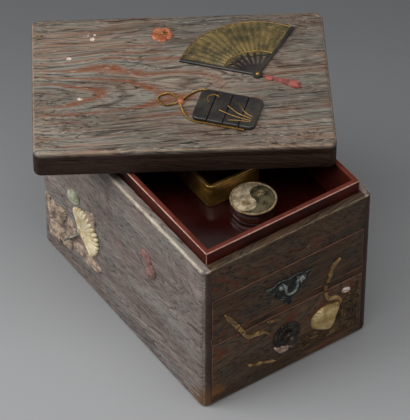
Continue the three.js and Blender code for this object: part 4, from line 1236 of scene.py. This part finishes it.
HINGE = (59.5, 58.5)
scallop = [(55, 62), (58, 61.5), (60.5, 59.5), (61.8, 55), (60, 49.5), (58.2, 44.5), (56.2, 38), (54.5, 32.5)]
scallop += [(52, 28.6), (48.5, 28.3), (41.5, 32), (34.5, 36.5), (30.2, 40.5), (28.6, 46.5), (29, 52.5)]
scallop += [(32.4, 57.2), (37, 60.3), (41.8, 62.4), (48, 63.2)]
scallop = outlined(scallop, HINGE, scallop_height, 220, 40)
wings = moved(boss(lambda a: 2.0 + 1.4 * cos(a) ** 2, rounded(2.7, 0.9)), spot(59.4, 59.6, -35))
settle("golden_scallop", "shell_gold", LOWER, scallop, wings, replaces=["gold_shell"])
whelk = [(-16.6, 38.6), (-13.5, 32.6), (-9, 27.6), (-5.2, 25.4), (-1.4, 26), (1.6, 29.2), (2.6, 33)]
whelk += [(-0.6, 35.6), (-5, 35), (-8.6, 38.4), (-12.6, 40)]
whelk = outlined(whelk, (0, 34.5), whelk_height, 96, 16)
settle("pink_shell_relief", "pearl", LOWER, whelk, replaces=["pink_shell"])
cowrie = [(65.7, 72.6), (70.7, 71.3), (75.7, 69.8)]
cowrie = strip(cowrie, lambda t: 3.3 * sqrt(max(0.02, sin(pi * t))), cowrie_height, 24, 20)
settle("cowrie", "white_shell", LOWER, cowrie, replaces=["white_shell"])
twelfths = [k / 12 for k in range(13)]
slit = [(67.1 + 7.2 * t, 72.2 - 2.0 * t, 0.9 + 0.35 * sin(pi * t)) for t in twelfths]
settle("cowrie_slit", "brick_red", LOWER, wired(slit, "brick_red", 0.5))
settle("snail", "pearl", LOWER, wired(spiral(4.6, 31.5, 0.9, 0.3, 1.9, 2.2, 50), "pearl", 0.65))

# %% [markdown]
# The lower right corner is carved all over with short strands of weed that eddy round the
# shell. The fourth tree scatters copies over a region, no two too near each other, and turns
# each one round a centre. Noise bends the eddy, so that it doesn't look like a wheel.

# %% Strands in an eddy
inputs = {"Region": "Object", "Copy": "Object", "Spacing": 2.2, "Centre": (0.0, 0.0, 0.0)}
eddy, given = new_geometry("strands in an eddy", {**inputs, "Shuffle": 1.2, "Seed": 1})
values = {"Mesh": shape_of(given["Region"]), "Distance Min": given["Spacing"], "Density Max": 3.0}
values["Seed"] = given["Seed"]
seats = geo(eddy, "DistributePointsOnFaces", values, "Points", distribute_method="POISSON")
place = geo(eddy, "InputPosition")
from_centre = split(vector("SUBTRACT", place, given["Centre"]))
# A strand lies almost square to the line from the centre, and the noise bends it by this much
ACROSS, BEND = 1.9, 5.0
heading = calc("ADD", calc("ARCTAN2", from_centre[1], from_centre[0]), ACROSS)
bend = calc("SUBTRACT", noise(place, 0.11, 0.11, 1.0), 0.5)
heading = calc("MULTIPLY_ADD", bend, times(given["Shuffle"], BEND), heading)
size = chance(given["Seed"], 0.65, 1.2)
close_with_copies(seats, given, joined(0.0, 0.0, heading), joined(size, size, 1.0))

# %% [markdown]
# A strand has only a few dozen faces, because it is repeated many times. Two stems with
# blades on both sides stand towards the right edge, and a curl lies alone on the upper drawer.

# %% Carved weed
shore = [(16, 18), (50, 18), (82, 18), (83.5, 74), (81, 74), (78, 66), (73, 62), (66, 54), (62, 42)]
shore += [(57, 29), (50, 24), (36, 30), (24, 34), (14, 29)]
region = bpy.data.meshes.new("region")
region.from_pydata([(*p, 0.0) for p in shore], [], [tuple(range(len(shore)))])
strand = strip(
    [(-5.4, -1.1), (-1.8, 0.6), (1.8, 0.8), (5.4, -1.2)],
    lambda t: 0.1 + 0.62 * arch(t),
    lambda t, s: 0.25 + ridge(s) * arch(t, 0.06),
    10,
    4,
)
blade = strip(
    [(0, 0), (1.6, 0.5), (3.2, 0.3), (4.6, -0.5)],
    lambda t: 0.55 * sin(pi * min(max(t, 0.03), 0.98)) + 0.05,
    lambda t, s: 1.2 * ridge(s),
    9,
    4,
)
brown = "carved_weed"
sizes = {"spacing": 3.0, "centre": (52, 44, 0), "shuffle": 0.4, "seed": 11}
carved = [grow(eddy, brown, region=region, copy=skin(strand), **sizes)]
for stem, splay, seed in (
    ([(85, 18), (83, 34), (86, 52), (84, 68), (86, 80)], 0.25, 4),
    ([(70, 17), (64, 26), (68, 36)], 0.4, 15),
):
    stem = line([(*p, 0) for p in smooth_line(stem, 40)])
    sizes = {"spacing": 2.6, "splay": splay, "shuffle": 0.5, "small": 0.6, "seed": seed}
    carved.append(grow(trail, brown, line=stem, copy=skin(blade), **sizes))
settle("carved_weed", brown, LOWER, *carved)
settle("carved_curl", brown, UPPER, wired(spiral(77, 133, 0.1, 0.6, 4.6, 2.1, 50), brown, 0.35))

# %% [markdown]
# The handle's iron plate has a raised border and scrolls. Half of its outline is drawn and
# mirrored. The plate itself is that outline in rising and shrinking rings, and the border
# and the scrolls are wires laid on it.

# %% Plate
PLATE_Z, PLATE_STEPS = 114.5, 132
half_edge = [(0, 13.2), (5, 15), (13, 15), (20, 11.8), (28.5, 12), (22, 4), (15.5, 1.5), (15, -6), (9.5, -11)]
half_edge += [(5.5, -13), (4, -19), (0, -23)]
edge = half_edge + [(-x, y) for x, y in half_edge[-2:0:-1]]
edge = [through(edge + edge[:1], k / PLATE_STEPS) for k in range(PLATE_STEPS)]
steps = [(1, SUNK), (1, 0.9), (0.985, 1.4), (0.95, 1.5), (0.9, 1.4), (0.88, 0.95), (0.5, 1.0), (0.02, 1.1)]
plate = loft([[(x * q, y * q, z) for x, y in edge] for q, z in steps])
settle("plate", "patinated_iron", UPPER, moved(plate, spot(0, PLATE_Z)), replaces=["handle_plate"])
ON_PLATE = 1.2
border = [(0.955 * x, PLATE_Z + 0.955 * y, 1.35) for x, y in edge]
scrolls = [wired(border, "iron_edge", 0.36, cyclic=True)]
wing = smooth_line([(13.5, 125.5), (18.5, 126.0), (22.5, 124.2), (26.5, 125.2)])
foot = smooth_line([(11.5, 112), (9.0, 107.5), (6.0, 105.5), (3.0, 101.5), (1.2, 97.5)])
for sign in (-1, 1):
    for points, thick in ((spiral(17.5, 121.2, 0, 0.4, 3.4, 1.8, 40), 0.42), (wing, 0.38), (foot, 0.36)):
        points = [(sign * point[0], point[1], ON_PLATE) for point in points]
        scrolls.append(wired(points, "iron_edge", thick))
settle("plate_scrolls", "iron_edge", UPPER, *scrolls)

# %% [markdown]
# The bail hangs in two eyes and swings, so it is one wire with a ball at each end, on a body
# of its own. The eyes keep the frame's shape, because the bail has to pass through them.

# %% Bail
EYE_X, EYE_Z, BAIL_OUT = 13.1, 125, 5.1
for side in ("left", "right"):
    refined(f"handle_eye_{side}", "worn_iron", 0, smooth=60)
half_bail = [(EYE_X, 0), (9.5, 0), (6.5, -1.6), (6.9, -7.3), (4.3, -13.0)]
bail = [(-x, EYE_Z + y, BAIL_OUT) for x, y in half_bail] + [(0, 110.5, BAIL_OUT)]
bail += [(x, EYE_Z + y, BAIL_OUT) for x, y in half_bail[::-1]]
ball = turned([(2.5 * sin(pi * t), -2.5 * cos(pi * t)) for t in twelfths], 24)
ends = [moved(ball, Matrix.Translation((x, EYE_Z, BAIL_OUT))) for x in (-EYE_X, EYE_X)]
bail = wired(smooth_line(bail, 90), "worn_iron", 1.35)
settle("bail", "worn_iron", BAIL, bail, *ends, replaces=["handle_bail"], smooth=60)

# %% [markdown]
# On the lower drawer a knob stands in a chrysanthemum rosette: two rings of iron petals from
# the arc tree on a plain disc. The knob is turned on a lathe, with its shank and the
# clinched end inside the drawer.

# %% Rosette and knob
IRON = "dark_iron"
outer = arced(petal(2.15, 2.0, groove=0.7, round_at=0.86), IRON, 24, 0, 360, 16.6, 16.6)
inner = arced(petal(2.1, 2.4, groove=0.6, round_at=0.84), IRON, 18, 10, 370, 11.8, 11.8)
KNOB_AT = (-1, 49)
at_knob = spot(*KNOB_AT)
rosette = [moved(outer, at_knob), moved(inner, spot(*KNOB_AT, 0, 0.3))]
rosette.append(moved(boss(even(15.0), even(1.0)), at_knob))
settle("rosette", IRON, LOWER, *rosette, replaces=["knob_rosette"])
knob = [(0, -13.5), (4.5, -13.5), (4.5, -12.3), (1.6, -12.3), (1.6, 2.1), (5.0, 2.2), (5.2, 2.8), (3.9, 3.3)]
knob += [(3.1, 4.2), (2.8, 5.4), (3.0, 6.8), (4.4, 8.2), (5.8, 9.0), (6.2, 9.9), (6.1, 10.6), (5.5, 11.0)]
knob += [(5.4, 11.4), (5.0, 12.2), (4.2, 12.9), (3.0, 13.5), (1.6, 13.9), (0, 14.1)]
settle("turned_knob", IRON, LOWER, moved(turned(knob, 48), at_knob), replaces=["knob"], smooth=50)

# %% [markdown]
# On the lid lies an open fan. Its leaf is pleated, so each fold catches the light
# differently, and it ends in gold edges. The sticks are thin slats from the arc tree between
# two thicker guards, and a gold rivet holds them.

# %% Fan
PIVOT_X, PIVOT_Y = 76, 4
FAN_START, FAN_END = 62, 160
FAN_REACH, FAN_ROOT, FOLDS, FAN_STEPS = 80.0, 34, 16, 128
pivot = spot(PIVOT_X, PIVOT_Y)


def fan_line(radius, z, count, start=FAN_START, end=FAN_END):
    angles = [radians(start + i / count * (end - start)) for i in range(count + 1)]
    return [polar(radius, a, z, PIVOT_X, PIVOT_Y) for a in angles]


folds = [abs((i / FAN_STEPS * FOLDS) % 1.0 * 2 - 1) for i in range(FAN_STEPS + 1)]
rows = []
for k in range(11):
    q = FAN_ROOT / FAN_REACH + (1 - FAN_ROOT / FAN_REACH) * k / 10
    low = fan_line(q * FAN_REACH, SUNK, FAN_STEPS)
    top = [(x, y, 1.5 + 1.1 * fold * (0.6 + 0.4 * q)) for (x, y, _), fold in zip(low, folds)]
    rows.append(top + low[::-1])
settle("fan_leaf", "fan_leaf", LID, loft(rows), replaces=["lid_fan_leaf"], smooth=18)
rims = [wired(fan_line(radius, 2.1, 80), "gold_lacquer", 0.55) for radius in (79.4, 35.0)]
settle("fan_gold_edges", "gold_lacquer", LID, *rims)

slat = strip([(0, 0), (0.5, 0), (1, 0)], lambda t: 1.0 + 0.6 * t, lambda t, s: 1.9 - 0.3 * s * s, 8, 4)
sticks = [moved(arced(slat, "black_lacquer", 8, FAN_START, FAN_END, 34, 34), pivot)]
for angle, outward in ((FAN_START, -2.1), (FAN_END, 2.1)):
    x, y = cos(radians(angle)), sin(radians(angle))
    tip = (PIVOT_X + FAN_REACH * x - y * outward, PIVOT_Y + FAN_REACH * y + x * outward)
    guard = [(PIVOT_X, PIVOT_Y), ((PIVOT_X + tip[0]) / 2, (PIVOT_Y + tip[1]) / 2), tip]
    sticks.append(strip(guard, lambda t: 1.3 + 0.6 * t, lambda t, s: 2.8 - 0.5 * s * s, 20, 6))
sticks.append(moved(boss(even(5.0), even(2.7)), pivot))
settle("fan_sticks", "black_lacquer", LID, *sticks, replaces=["lid_fan_sticks"])
settle("fan_rivet", "gold_lacquer", LID, moved(boss(even(2.2), rounded(1.4, 0.95, 2.7)), pivot))

# %% [markdown]
# A red tassel hangs from the rivet. Its threads are the arc tree's copies over a narrow
# angle, with a shuffle in their lengths, below a knot and a short tie.

# %% Tassel
hanging = spot(PIVOT_X, PIVOT_Y, -22)
thread = [(0, 0), (0.4, 0.02), (0.8, -0.02), (1, 0.01)]
thread = strip(thread, even(0.8), lambda t, s: 1.9 * ridge(s, 0.1), 14, 4)
fringe = arced(thread, "silk_red", 11, -13, 13, 21, 26, shuffle=0.07, seed=3)
fringe = moved(fringe, hanging @ Matrix.Translation((15, 0, 0)))
knot = boss(lambda a: 3.0 + 1.6 * abs(cos(a)), rounded(2.6, 0.85))
knot = moved(knot, hanging @ Matrix.Translation((13, 0, 0)))
tie = [tuple(hanging @ Vector(p)) for p in ((5, 0, 1), (8, 1, 1.2), (12, 0, 1.4))]
tie = wired(tie, "silk_red", 0.8)
settle("fan_tassel", "silk_red", LID, fringe, knot, tie, replaces=["lid_fan_tassel"])

# %% [markdown]
# The tiered case has four tiers. Each is a slab with eased edges, lofted from the same outline
# drawn smaller and higher, and only the top and bottom tiers have round corners.

# %% Tiered case
TIERS = spot(44, -47, 72)
ROUND, SQUARE, SEAM = 7, 0.6, 0.3
slab = [(0, SUNK), (0, 3.3), (0.25, 3.9), (0.8, 4.2), (1.4, 4.25)]
tiers = []
for k in range(4):
    low, high = -32 + 16 * k + SEAM, -32 + 16 * (k + 1) - SEAM
    bottom, top = ROUND if k == 0 else SQUARE, ROUND if k == 3 else SQUARE
    tiers.append(moved(loft(rim_round(22, high, bottom, top, slab, low)), TIERS))
settle("tiered_case", "black_lacquer", LID, *tiers, replaces=["lid_pillbox"])

# %% [markdown]
# Its black ground carries a crescent and a few blades of autumn grass in raised gold, and a
# twisted gold cord runs up its sides, through a coral bead and into a loop. All but the bead
# are wires along drawn lines, and the cord has three strands.

# %% Gold grass and cord
drawn = []
for x, bend, tall in ((-12, 7, 34), (-9, 12, 27), (-14, -3, 22), (-6, 16, 18)):
    blade = [(x, -26, 4.2), (x + bend * 0.3, -26 + tall * 0.5, 4.3), (x + bend, -26 + tall, 4.25)]
    drawn.append(wired(smooth_line(blade, 30), "gold_lacquer", 0.42))
angles = [radians(-60 + 6.5 * i) for i in range(33)]
moon = [polar(6.2, a, 4.3, 9, 17) for a in angles]
drawn.append(wired(moon, "gold_lacquer", 0.7))
settle("tiered_case_gold", "gold_lacquer", LID, *[moved(mesh, TIERS) for mesh in drawn])

runs = [[(-1.3, 48, 1.5), (-9, 61.8, 1.2), (0, 71, 1.1), (9, 61.8, 1.2), (1.3, 48, 1.5)]]
side_run = [(23.4, -22.4, 1.1), (23.6, 0, 1.1), (23.4, 28.8, 1.1), (15.4, 40, 1.3), (1.3, 48, 1.5)]
runs = [[(sign * x, y, z) for x, y, z in side_run] for sign in (-1, 1)] + runs
twisted = {"strands": 3, "spread": 0.55, "twist": 1.5, "spacing": 0.5}
cords = [moved(wired(smooth_line(run), "gold_lacquer", 0.62, **twisted), TIERS) for run in runs]
settle("case_cord", "gold_lacquer", LID, *cords, replaces=["lid_pillbox_cord"])
bead = moved(boss(even(3.8), rounded(4.4, 0.95)), TIERS @ Matrix.Translation((0, 48, 0)))
settle("cord_bead", "coral", LID, bead)

# %% [markdown]
# A coral blossom lies by itself on the lid, with stamens round its heart. Here and there the
# lid has lost its surface down to the white ground, in ragged specks whose edges are drawn
# from a fixed seed, so that they come out the same each time.

# %% Blossom and lost specks
BLOSSOM_AT = (-16, 70)
at_blossom = spot(*BLOSSOM_AT)
bloom = arced(petal(5.2, 2.3, 0.1, 0.3, 0.6), "coral", 5, 0, 360, 11.2, 11.2)
heart = moved(boss(even(2.2), rounded(3.0, 0.9)), at_blossom)
settle("blossom", "coral", LID, moved(bloom, spot(*BLOSSOM_AT, 17)), heart, replaces=["lid_blossom"])
pin = strip([(0.2, 0), (0.6, 0), (1, 0)], lambda t: 0.16 + 0.34 * max(0.0, (t - 0.75) * 4), even(2.6), 8, 4)
stamens = arced(pin, "pale_gold", 9, 0, 360, 5.6, 5.6, shuffle=0.12, seed=5)
settle("blossom_stamens", "pale_gold", LID, moved(stamens, at_blossom))

random.seed(7)
lost = [(-86, 66, 3.2), (-83.5, 73, 1.3), (-90, 72, 1.0), (-110, 38, 2.3), (-101, -23, 1.9)]
lost += [(-98.5, -23.4, 1.2)]
specks = []
JAGS = 12
for u, v, size in lost:
    wobble = [random.uniform(0.6, 1.25) for _ in range(JAGS)]
    ragged = lambda a, w=wobble, s=size: s * w[int(a / (2 * pi) * JAGS) % JAGS]
    specks.append(moved(boss(ragged, lambda q, a: 0.35 * (1 - 0.6 * q * q), 36, 3), spot(u, v)))
settle("gesso_specks", "white_shell", LID, *specks)

# %% [markdown]
# The floor is plain and pale and isn't part of the object. Its colour is painted darker towards the back: a
# painted falloff of light, as on paper under one light. At the end the size of the dressed casket is set
# beside the size of the frame, because a piece may stand only a little proud.

# %% Floor and size
shader, place = start("paper")
TO_THE_RIGHT, TO_THE_BACK = 0.565, 0.825
sides = split(place)
away = calc("MULTIPLY_ADD", sides[0], TO_THE_RIGHT, times(sides[1], TO_THE_BACK))
# Painted falloff of light: the floor's colour darkens towards the back
tone = mixed(mapped(away, -0.2, 0.5), colour("9fa1a4"), colour("66686b"))
fill(shader, {"Base Color": tone, "Roughness": 0.75})
FLOOR = -0.0002
corners = [(x, y, FLOOR) for x, y in ((-6, -6), (6, -6), (6, 6), (-6, 6))]
floor_mesh = bpy.data.meshes.new("floor")
floor_mesh.from_pydata(corners, [], [(0, 1, 2, 3)])
floor_mesh.materials.append(paints["paper"])
new_object("floor", floor_mesh)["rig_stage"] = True
new_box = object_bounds()
sizes = {"cad": [list(c) for c in cad_box], "visual": [list(c) for c in new_box]}
for label, box in (("frame", cad_box), ("dressed", new_box)):
    print(label, [round(high - low, 4) for low, high in zip(*box)])
